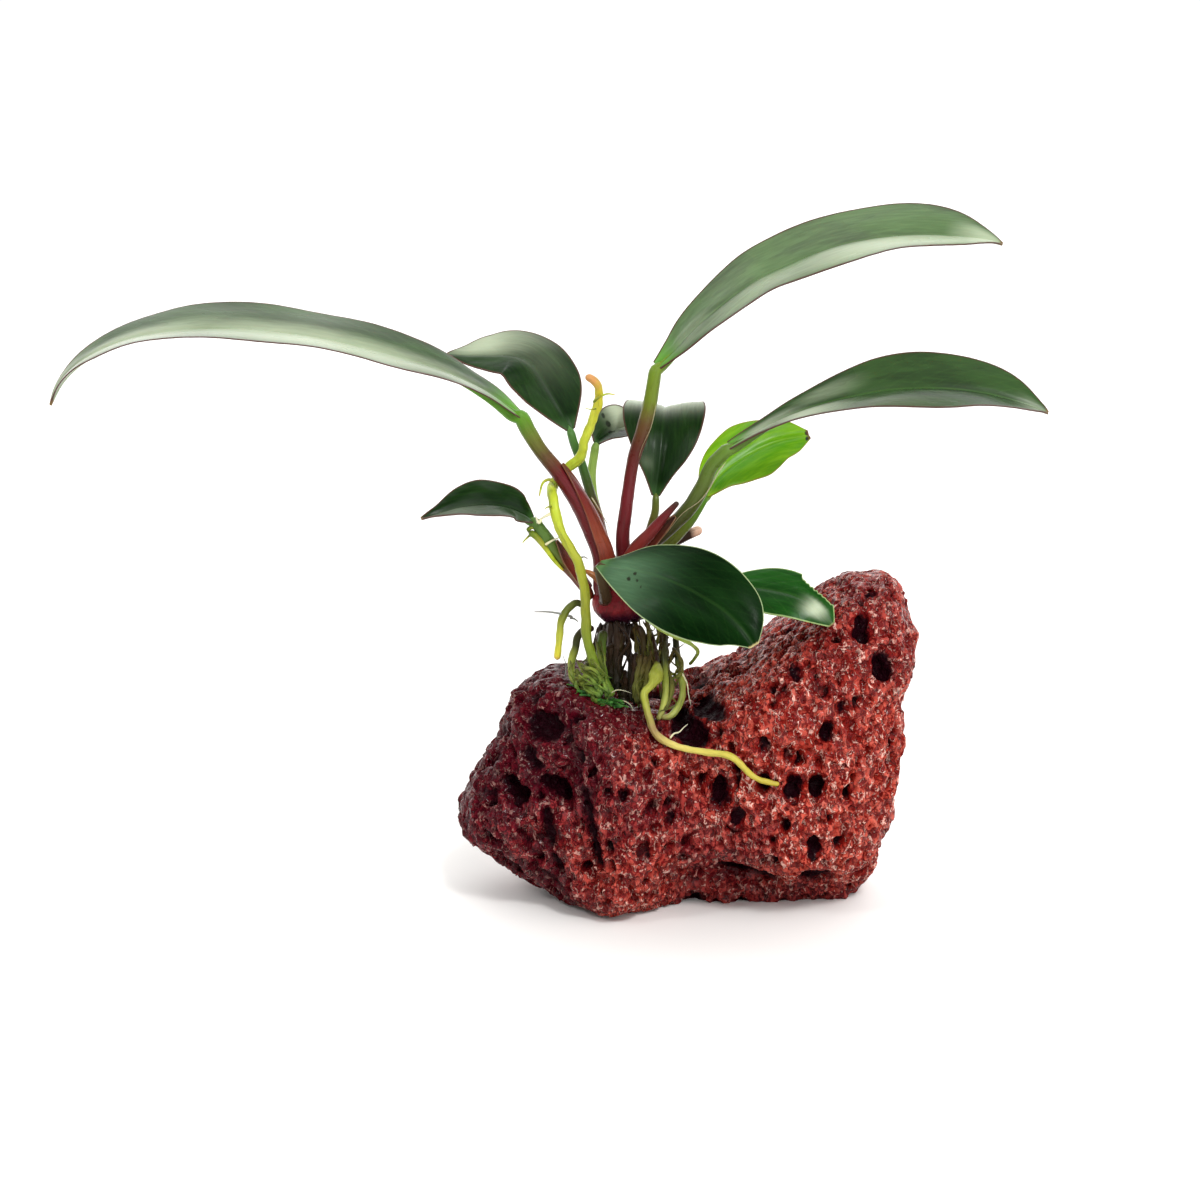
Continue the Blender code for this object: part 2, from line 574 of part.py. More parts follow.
def curve_object(name, line, radii, resolution, colour, collection):
    """A bevelled curve with closed ends through the points of a line."""
    curve = bpy.data.curves.new(name, "CURVE")
    curve.dimensions = "3D"
    curve.bevel_depth = MM
    curve.bevel_resolution = resolution
    curve.use_fill_caps = True
    spline = curve.splines.new("POLY")
    spline.points.add(len(line) - 1)
    for point, place_mm, radius in zip(spline.points, line, radii):
        point.co = (*mm(place_mm), 1)
        point.radius = radius
    return place(name, curve, collection, plain_material(f"stem_{colour[0]:.2f}", colour, STEM_ROUGHNESS))


def width_at(leaf, along):
    """Half the blade's width, in millimetres, at a share of its length."""
    percents = np.linspace(0, 100, len(leaf.widths))
    corners = [(percent, width, 0) for percent, width in zip(percents, leaf.widths)]
    profile = smooth_through(corners, PROFILE_STEPS)
    return np.interp(along * 100, profile[:, 0], profile[:, 1])


def blade_points(leaf, along, across):
    """The blade's middle surface, in millimetres, for shares along it and from -1 to 1 across it."""
    line = smooth_through(leaf.midrib, MIDRIB_STEPS)
    steps = np.linspace(0, 1, MIDRIB_STEPS)
    tangents = np.gradient(line, axis=0)
    tangents /= np.linalg.norm(tangents, axis=1)[:, None]
    faces = np.outer(1 - steps, leaf.face_base) + np.outer(steps, leaf.face_tip)
    normals = faces - np.sum(faces * tangents, axis=1)[:, None] * tangents
    normals /= np.linalg.norm(normals, axis=1)[:, None]
    sides = np.cross(tangents, normals)

    def at(table):
        return np.column_stack([np.interp(along, steps, table[:, k]) for k in range(3)])

    width = width_at(leaf, along)
    if leaf.bite:
        start, end, left, side = leaf.bite
        inside = np.clip(1 - np.abs(2 * (along - start) / (end - start) - 1), 0, 1) ** BITE_ROUNDNESS
        width = np.where(across * side > 0, width * (1 - (1 - left) * inside), width)
    fold = math.radians(leaf.fold)
    out = width * across * math.cos(fold)
    up = width * (np.abs(across) * math.sin(fold) + leaf.cup * across**2)
    return at(line) + at(sides) * out[:, None] + at(normals) * up[:, None]


def build_leaf(leaf, collection):
    """A leaf blade: a sheet bent along its midrib, with its thickness."""
    mesh = bpy.data.meshes.new(leaf.name)
    work = bmesh.new()
    bmesh.ops.create_grid(work, x_segments=leaf.stations, y_segments=LEAF_CELLS_ACROSS, size=1.0)
    grid = np.array([v.co[:] for v in work.verts])
    points = blade_points(leaf, (grid[:, 0] + 1) / 2, grid[:, 1])
    for vert, point in zip(work.verts, points):
        vert.co = Vector(point) * MM
    work.to_mesh(mesh)
    work.free()
    colour = LIME if leaf.name == "leaf_young_lime" else LEAF_GREEN
    material = plain_material(f"blade_{colour[0]:.2f}", colour, BLADE_ROUGHNESS)
    blade = place(leaf.name, mesh, collection, material)
    thick = blade.modifiers.new("thickness", "SOLIDIFY")
    thick.thickness = LEAF_THICKNESS * MM
    thick.offset = 0.0
    return blade


def build_rhizome(collection):
    """The creeping stem, with the rings that old leaves left on it."""
    count = RHIZOME_RINGS * 2
    line = smooth_through(RHIZOME_LINE, count)
    shares = np.linspace(0, 1, count)
    radii = np.interp(shares, np.linspace(0, 1, len(RHIZOME_RADII)), RHIZOME_RADII)
    rounded = np.sqrt(np.clip(1 - np.abs(2 * shares - 1) ** END_BLUNTNESS, END_WIDTH, 1))
    radii = radii * rounded * (1 + RING_HEIGHT * np.cos(np.arange(count) * math.pi))
    return curve_object("rhizome", line, radii, RHIZOME_RESOLUTION, BROWN, collection)


def main():
    """Builds every piece of the plant and its stone."""
    clear_scene()
    parts = new_collection("anubias_on_stone")
    cutters = new_collection("cutters", hidden=True)
    stone = build_stone(parts, cutters)
    surface = BVHTree.FromObject(stone, bpy.context.evaluated_depsgraph_get())
    build_rhizome(parts)
    for leaf in LEAVES:
        build_leaf(leaf, parts)
    for tube in STALKS + ROOTS:
        build_tube(tube, parts, surface)


main()
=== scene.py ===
"""The looks of an anubias that grows on a lump of red lava stone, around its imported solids.

Metres, +Z up, and the front of the plant faces -Y. The tables give places and sizes in millimetres,
and Workpiece turns them into metres.
"""

import logging
import math
import random
from collections.abc import Sequence
from dataclasses import dataclass
from enum import Enum

import bmesh
import bpy
import numpy as np
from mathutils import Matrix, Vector, noise
from mathutils.bvhtree import BVHTree
from mathutils.kdtree import KDTree


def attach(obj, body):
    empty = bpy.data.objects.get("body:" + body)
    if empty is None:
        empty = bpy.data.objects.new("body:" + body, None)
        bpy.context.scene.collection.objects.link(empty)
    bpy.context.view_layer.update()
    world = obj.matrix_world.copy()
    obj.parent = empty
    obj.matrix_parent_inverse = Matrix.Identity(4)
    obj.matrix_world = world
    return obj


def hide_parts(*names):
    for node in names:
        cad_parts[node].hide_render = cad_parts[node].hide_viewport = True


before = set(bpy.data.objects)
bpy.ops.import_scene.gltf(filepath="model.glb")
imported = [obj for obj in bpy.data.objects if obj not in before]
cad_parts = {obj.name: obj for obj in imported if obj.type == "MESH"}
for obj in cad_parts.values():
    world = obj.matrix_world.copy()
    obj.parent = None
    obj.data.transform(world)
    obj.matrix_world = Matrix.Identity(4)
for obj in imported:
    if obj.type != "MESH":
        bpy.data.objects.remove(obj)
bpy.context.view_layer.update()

BODY = "root"
MM = 0.001
# What a piece without a margin holds as its distance to one, in millimetres.
NO_EDGE = 9.0

Array = np.ndarray
Span = tuple[float, float]
Point = tuple[float, float, float]
Colour = tuple[float, float, float]
Stops = tuple[tuple[float, Colour], ...]

log = logging.getLogger("anubias_on_stone")


# Lines through points

CURVE_STEPS = 24


def smooth_through(points: Sequence[Sequence[float]], count: int) -> Array:
    """A smooth curve through the points.

    Args:
        points: Where the curve passes, in order.
        count: How many points to give back.

    Returns:
        Evenly spaced points of the curve, one to a row.
    """
    p = np.array(points, float)
    p = np.vstack([2 * p[0] - p[1], p, 2 * p[-1] - p[-2]])
    t = np.linspace(0, 1, CURVE_STEPS, endpoint=False)[:, None]
    spans = []
    for a, b, c, d in zip(p, p[1:], p[2:], p[3:]):
        bend = (2 * a - 5 * b + 4 * c - d) * t**2
        twist = (3 * b - 3 * c + d - a) * t**3
        spans.append(0.5 * (2 * b + (c - a) * t + bend + twist))
    dense = np.vstack([*spans, p[-2]])
    along = length_along(dense)
    return at_share(dense, along / along[-1], np.linspace(0, 1, count))


def length_along(line: Array) -> Array:
    """The length of a line from its start to each of its points."""
    return np.concatenate([[0], np.cumsum(np.linalg.norm(np.diff(line, axis=0), axis=1))])


def at_share(table: Array, shares: Array, wanted: Array) -> Array:
    """Rows of a table, read between the shares that its own rows stand for."""
    return np.column_stack([np.interp(wanted, shares, column) for column in table.T])


def spread(values: Sequence[float], wanted: Array) -> Array:
    """Values that stand evenly from 0 to 1, read at the wanted shares."""
    return np.interp(wanted, np.linspace(0, 1, len(values)), values)


def unit(vectors: Array) -> Array:
    """The vectors at length 1."""
    return vectors / np.maximum(np.linalg.norm(vectors, axis=-1, keepdims=True), 1e-12)


def noise_at(points: Array, size: float) -> Array:
    """Smooth noise from -1 to 1 at each point, whose waves are about this size."""
    return np.array([noise.noise(Vector(p)) for p in points / size])


# Materials


class Field:
    """A value that changes over a surface. Python's operators on it add Math nodes."""

    def __init__(self, nodes: "Nodes", socket: bpy.types.NodeSocket) -> None:
        """Wraps a node's output."""
        self.nodes = nodes
        self.socket = socket

    def math(self, operation: str, *terms: "Field | float") -> "Field":
        """One Math node on these terms."""
        return self.nodes.node("ShaderNodeMath", {"operation": operation}, dict(enumerate(terms)))

    def __add__(self, other: "Field | float") -> "Field":
        """Their sum."""
        return self.math("ADD", self, other)

    def __sub__(self, other: "Field | float") -> "Field":
        """Their difference."""
        return self.math("SUBTRACT", self, other)

    def __rsub__(self, other: float) -> "Field":
        """The difference, taken from a number."""
        return self.math("SUBTRACT", other, self)

    def __mul__(self, other: "Field | float") -> "Field":
        """Their product."""
        return self.math("MULTIPLY", self, other)

    def __truediv__(self, other: "Field | float") -> "Field":
        """Their quotient."""
        return self.math("DIVIDE", self, other)

    def __rtruediv__(self, other: float) -> "Field":
        """A number divided by the value."""
        return self.math("DIVIDE", other, self)

    def __abs__(self) -> "Field":
        """The value without its sign."""
        return self.math("ABSOLUTE", self)

    __radd__ = __add__
    __rmul__ = __mul__

    def larger(self, other: "Field") -> "Field":
        """The larger of the two."""
        return self.math("MAXIMUM", self, other)

    def zigzag(self, width: float) -> "Field":
        """Rises and falls between 0 and this width."""
        return self.math("PINGPONG", self, width)

    def step(self, start: float, end: float) -> "Field":
        """Goes smoothly from 0 at the start to 1 at the end, whichever of the two is larger."""
        limits = {"Value": self, "From Min": start, "From Max": end}
        return self.nodes.node("ShaderNodeMapRange", {"interpolation_type": "SMOOTHSTEP"}, limits)


class Nodes:
    """A node tree that is filled by expressions."""

    def __init__(self, tree: bpy.types.NodeTree) -> None:
        """Starts on a tree."""
        self.tree = tree

    def node(self, kind: str, settings: dict | None = None, inputs: dict | None = None,
             output: int | str = 0) -> Field:
        """Adds one node.

        Args:
            kind: The node's type.
            settings: Its properties, and a ramp's stops under "stops".
            inputs: Values or fields for its sockets, by name or number.
            output: Which of its outputs to give back.

        Returns:
            The output as a field.
        """
        made = self.tree.nodes.new(kind)
        for name, value in (settings or {}).items():
            if name == "stops":
                set_stops(made.color_ramp, value)
            else:
                setattr(made, name, value)
        for key, value in (inputs or {}).items():
            self.put(value, made.inputs[key])
        return Field(self, made.outputs[output])

    def put(self, value: "Field | float | Sequence[float]", socket: bpy.types.NodeSocket) -> None:
        """Links a field to a socket, or sets the socket's own value.

        Args:
            value: A field, a number, or the numbers of a colour or a vector.
            socket: A socket of this tree.
        """
        if isinstance(value, Field):
            self.tree.links.new(value.socket, socket)
        elif socket.type == "RGBA":
            socket.default_value = (*value, 1.0)
        else:
            socket.default_value = value

    def axis(self, where: Field, letter: str) -> Field:
        """One part of a vector: X, Y or Z."""
        return self.node("ShaderNodeSeparateXYZ", inputs={0: where}, output=letter)

    def vector(self, operation: str, terms: dict, output: str = "Vector") -> Field:
        """One Vector Math node on these terms."""
        return self.node("ShaderNodeVectorMath", {"operation": operation}, terms, output)


def set_stops(ramp: bpy.types.ColorRamp, stops: Stops) -> None:
    """Gives a ramp its colours.

    Args:
        ramp: A new ramp, which has two stops.
        stops: Each place from 0 to 1, with its colour.
    """
    while len(ramp.elements) < len(stops):
        ramp.elements.new(0.5)
    for element, (place, colour) in zip(ramp.elements, stops):
        element.position = place
        element.color = (*colour, 1.0)


class Paint(Nodes):
    """The nodes of one material, around its Principled shader."""

    def __init__(self, name: str) -> None:
        """Starts a material of this name."""
        self.material = bpy.data.materials.new(name)
        self.material.use_nodes = True
        super().__init__(self.material.node_tree)
        self.shader = self.tree.nodes["Principled BSDF"]

    def place(self) -> Field:
        """Where a point is on the object, in metres."""
        return self.node("ShaderNodeTexCoord", output="Object")

    def attribute(self, name: str) -> Field:
        """A number that the mesh holds at each vertex."""
        return self.node("ShaderNodeAttribute", {"attribute_name": name}, output="Fac")

    def grain(self, scale: Point) -> Field:
        """The mesh's own grain, in millimetres along and across the piece, stretched by a scale."""
        held = self.node("ShaderNodeAttribute", {"attribute_name": "grain"}, output="Vector")
        return self.node("ShaderNodeMapping", inputs={"Vector": held, "Scale": scale})

    def noise(self, where: Field, scale: float, detail: float = 3.0, distortion: float = 0.0) -> Field:
        """Cloudy noise around 0.5."""
        inputs = {"Vector": where, "Scale": scale, "Detail": detail, "Distortion": distortion}
        return self.node("ShaderNodeTexNoise", inputs=inputs)

    def cells(self, where: Field, scale: float) -> Field:
        """The distance to the nearest of many scattered points, as a share of their spacing."""
        return self.node("ShaderNodeTexVoronoi", inputs={"Vector": where, "Scale": scale})

    def warp(self, where: Field, scale: float, amount: float) -> Field:
        """A place pushed about by cloudy noise.

        Args:
            where: The place.
            scale: How many waves of the noise there are to a metre.
            amount: Twice as far as it is pushed at most, in metres.

        Returns:
            The place where it ends up.
        """
        cloud = self.node("ShaderNodeTexNoise", inputs={"Vector": where, "Scale": scale}, output="Color")
        centred = self.vector("SUBTRACT", {0: cloud, 1: (0.5, 0.5, 0.5)})
        pushed = self.vector("SCALE", {0: centred, "Scale": amount})
        return self.vector("ADD", {0: where, 1: pushed})

    def mix(self, first: "Field | Colour", second: "Field | Colour", share: "Field | float") -> Field:
        """A colour between two, by a share."""
        settings = {"data_type": "RGBA", "clamp_factor": True}
        return self.node("ShaderNodeMix", settings, {0: share, 6: first, 7: second}, 2)

    def ramp(self, value: Field, stops: Stops) -> Field:
        """A colour read from a run of stops."""
        return self.node("ShaderNodeValToRGB", {"stops": stops}, {"Fac": value})

    def bump(self, height: Field, distance: float, strength: float = 1.0) -> Field:
        """A normal bent by a height in metres."""
        inputs = {"Height": height, "Distance": distance, "Strength": strength}
        return self.node("ShaderNodeBump", inputs=inputs)

    def finish(self, **sockets: "Field | float | Colour") -> bpy.types.Material:
        """Sets the shader's sockets.

        Args:
            sockets: Each socket's value or field, under its name in small letters with underscores.

        Returns:
            The material.
        """
        for name, value in sockets.items():
            self.put(value, self.shader.inputs[name.replace("_", " ").title().replace("Ior", "IOR")])
        return self.material


@dataclass(frozen=True)
class StoneFinish:
    """Red lava stone, wet in places.

    It is orange-red on its ridges at the right, maroon to the left and near black in its pits. The near black
    of the pits, the darker walls of its hollows and its darker zones are painted shade, and so in part is the
    maroon to the left; the glints on its ridges are painted highlights, and its pale specks are partly dust
    and partly painted highlight.
    """

    warm_ridge: Colour = (0.52, 0.075, 0.048)
    cool_ridge: Colour = (0.185, 0.013, 0.019)
    # The walls are darker copies of the ridge colours. They are painted shade in the hollows and the darker
    # zones, and they also colour the cracks; the near-black colour below them is painted shade in the deepest
    # hollows.
    warm_wall: Colour = (0.245, 0.01, 0.006)
    cool_wall: Colour = (0.068, 0.002, 0.007)
    pit_shade: Colour = (0.012, 0.001, 0.003)
    # Pale pinkish specks on the ridges: partly dust and partly painted highlight.
    dust_and_glint: Colour = (0.62, 0.16, 0.115)
    # The glints' colour: painted highlights on the ridges.
    glint: Colour = (1.0, 0.65, 0.54)
    bend: float = 0.0014
    tallness: Point = (1.0, 1.0, 0.5)
    # The zones of painted shade, which stay darker, in metres: where each starts and where it is full.
    wander: float = 0.02
    flank_middle: float = 0.005
    flank_across: Span = (0.013, 0.004)
    flank_height: Span = (0.027, 0.014)
    corner_rise: Span = (0.044, 0.058)
    shaded_nest: Point = (-0.014, -0.011, 0.034)
    shaded_nest_reach: Span = (0.013, 0.006)
    foot_height: Span = (0.01, 0.003)
    foot_across: Span = (-0.006, 0.001)
    crest_height: Span = (0.03, 0.052)
    crest_shade: float = 0.6
    # Where maroon turns into orange-red, how much that line wanders, and how far the foot moves it. The
    # maroon is partly the stone's colour and partly painted shade on the side away from the light.
    warm_across: Span = (-0.024, 0.015)
    warm_wander: float = 0.05
    warm_foot: Span = (0.024, 0.006)
    warm_shift: float = 0.012
    relief_height: float = 0.0009

    def material(self) -> bpy.types.Material:
        """The stone's material.

        Returns:
            The material.
        """
        paint = Paint("lava_stone_wet")
        place = paint.place()
        hollow = paint.attribute("hollow")
        broad = paint.noise(place, 60.0, 4.0, 0.6)
        fine = paint.noise(place, 1100.0, 4.0)
        bent = paint.warp(place, 800.0, self.bend)
        pores = paint.cells(bent, 640.0).step(0.44, 0.16)
        small = paint.cells(bent, 1500.0).step(0.42, 0.14)
        across = paint.axis(place, "X")
        height = paint.axis(place, "Z")

        drift = (broad - 0.5) * self.wander
        # Zones of painted shade, darker than the rest: the flank in the middle, the top-left corner, where
        # the roots meet the stone, the foot and the crest.
        shaded_flank = abs(across + drift - self.flank_middle).step(*self.flank_across)
        shaded_flank = shaded_flank * (height + drift).step(*self.flank_height)
        shaded_corner = (height - across + drift).step(*self.corner_rise)
        away = paint.vector("DISTANCE", {0: place, 1: self.shaded_nest}, "Value")
        shaded_nest = (away + drift * 0.5).step(*self.shaded_nest_reach)
        foot = (height + drift).step(*self.foot_height) * across.step(*self.foot_across)
        shaded_crest = (height + drift).step(*self.crest_height) * self.crest_shade
        shade = shaded_flank.larger(foot).larger(shaded_crest).larger(shaded_nest)
        # Maroon on the left and orange-red on the right: partly the stone's colour and partly painted shade
        # on the side away from the light. The zones of painted shade cool it further.
        warmth = across + (broad - 0.5) * self.warm_wander + height.step(*self.warm_foot) * self.warm_shift
        warmth = warmth.step(*self.warm_across) * (1 - shade * 0.7)

        tall = paint.vector("MULTIPLY", {0: bent, 1: self.tallness})
        worms = abs(paint.noise(tall, 850.0, 2.0, 0.5) - 0.5)
        cracks = abs(paint.noise(tall, 700.0, 2.0, 0.5) - 0.48).step(0.06, 0.022)
        # Thin worm-like glints along the ridges: painted highlights.
        painted_glints = worms.step(0.044, 0.014) * paint.noise(place, 800.0, 2.0).step(0.49, 0.56)
        ridge = paint.mix(self.cool_ridge, self.warm_ridge, warmth)
        wall = paint.mix(self.cool_wall, self.warm_wall, warmth)
        # Pale pinkish specks on the ridges: partly dust and partly painted highlight.
        ridge = paint.mix(ridge, self.dust_and_glint, (fine.step(0.5, 0.7) - pores) * (warmth * 0.5 + 0.15))
        # The ridges darken in random broad patches, and as painted shade in the top-left corner and where the
        # roots meet the stone.
        dark = (broad.step(0.5, 0.34) * 0.7).larger(shaded_corner * 0.7).larger(shaded_nest * 0.9)
        ridge = paint.mix(ridge, wall, dark)
        # Painted shade: the deeper a point lies in a hollow, a bubble or a pore, the nearer its colour goes
        # to the walls' colour.
        depth = (hollow + (fine - 0.5) * 0.3).larger(pores * 0.5).larger(small * 0.3)
        colour = paint.mix(ridge, wall, depth.step(0.06, 0.45))
        colour = paint.mix(colour, paint.mix(self.cool_wall, wall, 0.7), cracks)
        # Painted highlights: the glints, stronger where the stone is warm and fading in the hollows.
        colour = paint.mix(colour, self.glint, painted_glints * (warmth * 0.54 + 0.24) * (1 - depth))
        # Painted shade: the deepest hollows go near black.
        colour = paint.mix(colour, self.pit_shade, depth.step(0.36, 0.85))
        wet = paint.noise(place, 420.0, 2.0).step(0.4, 0.56) * (1 - depth.step(0.3, 0.9) * 0.85)
        relief = fine * 0.3 - pores * 0.7 - small * 0.3 + worms.step(0.1, 0.0) * 0.25 - cracks * 0.25
        return paint.finish(
            base_color=colour,
            roughness=0.42 - wet * 0.2,
            specular_ior_level=0.02,
            coat_weight=wet * 0.26 + (1 - depth) * 0.03,
            coat_roughness=0.1,
            normal=paint.bump(relief, self.relief_height, 0.95),
        )


# The groove along a blade's midrib, the wider hollow around it and its side veins, in millimetres. The keels
# of the stalks lie under both. The hollow is full where the blade's half is as wide as the last value says.
GROOVE_DEPTH = 0.3
HOLLOW_DEPTH = 0.45
FULL_HALF = 6
VEIN_SLANT = 1.9
VEIN_SPACING = 1.7


class Face(Enum):
    """The two faces of a blade."""

    UPPER = "upper"
    UNDER = "under"


@dataclass(frozen=True)
class LeafFinish:
    """A blade's skin: two greens, its veins and midrib, its margin, where it starts and ends, and pale
    patches of painted sheen that stand for reflected light.
    """

    name: str
    dark: Colour = (0.006, 0.024, 0.003)
    light: Colour = (0.021, 0.066, 0.009)
    vein: Colour = (0.06, 0.15, 0.03)
    margin: Colour = (0.07, 0.035, 0.025)
    base: Colour = (0.1, 0.27, 0.03)
    tip: Colour = (0.16, 0.1, 0.04)
    blemish: Colour = (0.02, 0.025, 0.015)
    # The colour of the painted sheen: pale patches where the blade would reflect the bright surroundings.
    pale: Colour = (0.5, 0.57, 0.4)
    under: Colour = (0.1, 0.2, 0.07)
    base_reach: float = 0.1
    tip_reach: float = 0.015
    margin_width: float = 0.38
    vein_strength: float = 0.09
    midrib_strength: float = 0.45
    gloss: float = 0.13
    blotch_scale: Point = (0.06, 0.2, 0.2)
    streak_scale: Point = (0.25, 2.2, 1.0)
    relief_height: float = 0.00012

    def material(self, face: Face) -> bpy.types.Material:
        """The material of one face.

        Args:
            face: The upper face or the underside.

        Returns:
            The material.
        """
        paint = Paint(f"{self.name}_{face.value}")
        along = paint.attribute("along")
        edge = paint.attribute("edge")
        grain = paint.grain((1.0, 1.0, 1.0))
        blotch = paint.noise(paint.grain(self.blotch_scale), 1.0, 3.0, 0.4)
        streak = paint.noise(paint.grain(self.streak_scale), 1.0, 3.0)
        side = abs(paint.axis(grain, "Y"))
        lines = ((paint.axis(grain, "X") - side * VEIN_SLANT + streak * 1.2) / VEIN_SPACING).zigzag(1.0)
        veins = lines.step(0.22, 0.0) * self.vein_strength
        midrib = side.step(0.42, 0.12)
        skin = paint.mix(self.dark, self.light, blotch.step(0.36, 0.66) * 0.7 + streak.step(0.4, 0.7) * 0.3)
        if face is Face.UNDER:
            skin = paint.mix(skin, self.under, 0.75)
        skin = paint.mix(skin, self.vein, veins.larger(midrib * self.midrib_strength))
        # Painted sheen: pale patches where the blade would reflect the bright surroundings, broken up by the
        # streaks.
        bloom = paint.attribute("bloom") + (streak - 0.5) * 0.18 * paint.attribute("bloom").step(0.0, 0.3)
        skin = paint.mix(skin, self.pale, bloom)
        skin = paint.mix(skin, self.base, along.step(self.base_reach, 0.0))
        skin = paint.mix(skin, self.blemish, (paint.attribute("blemish") * (streak + 0.5)).step(0.3, 0.7))
        skin = paint.mix(skin, self.margin, (edge + (streak - 0.5) * 0.15).step(self.margin_width, 0.08))
        skin = paint.mix(skin, self.tip, (along + (streak - 0.5) * 0.02).step(1.0 - self.tip_reach, 1.0))
        height = streak * 0.25 + veins * 0.5 + paint.noise(grain, 2.2, 2.0) * 0.12
        return paint.finish(
            base_color=skin,
            roughness=0.2 + blotch * 0.14,
            specular_ior_level=self.gloss,
            subsurface_weight=0.04,
            subsurface_scale=0.001,
            normal=paint.bump(height, self.relief_height, 0.7),
        )


@dataclass(frozen=True)
class StemFinish:
    """The skin of a stalk or a root: colours from its start to its end, with streaks along it."""

    name: str
    stops: Stops
    streak: Colour = (0.03, 0.015, 0.01)
    streak_strength: float = 0.4
    roughness: float = 0.3
    glow: float = 0.05
    lumps: float = 0.25
    rim: Colour = (0.3, 0.16, 0.08)
    streak_scale: Point = (2.2, 2.2, 0.22)
    mottle_scale: Point = (0.9, 0.9, 0.6)

    def material(self) -> bpy.types.Material:
        """The skin's material.

        Returns:
            The material.
        """
        paint = Paint(self.name)
        along = paint.attribute("along")
        streaks = paint.noise(paint.grain(self.streak_scale), 1.0, 3.0, 0.3)
        mottle = paint.noise(paint.grain(self.mottle_scale), 1.0, 4.0)
        colour = paint.ramp(along + (mottle - 0.5) * 0.05, self.stops)
        colour = paint.mix(colour, self.streak, streaks.step(0.5, 0.8) * self.streak_strength)
        colour = paint.mix(colour, self.streak, mottle.step(0.62, 0.8) * self.streak_strength * 0.7)
        colour = paint.mix(colour, self.rim, paint.attribute("edge").step(0.14, 0.03) * 0.6)
        return paint.finish(
            base_color=colour,
            roughness=self.roughness + (mottle - 0.5) * 0.2,
            specular_ior_level=0.18,
            subsurface_weight=self.glow,
            subsurface_scale=0.001,
            normal=paint.bump(streaks + mottle * 0.6, self.lumps * MM, 0.7),
        )


# Meshes

MERGE_DISTANCE = 2e-6
CREASE = 60.0


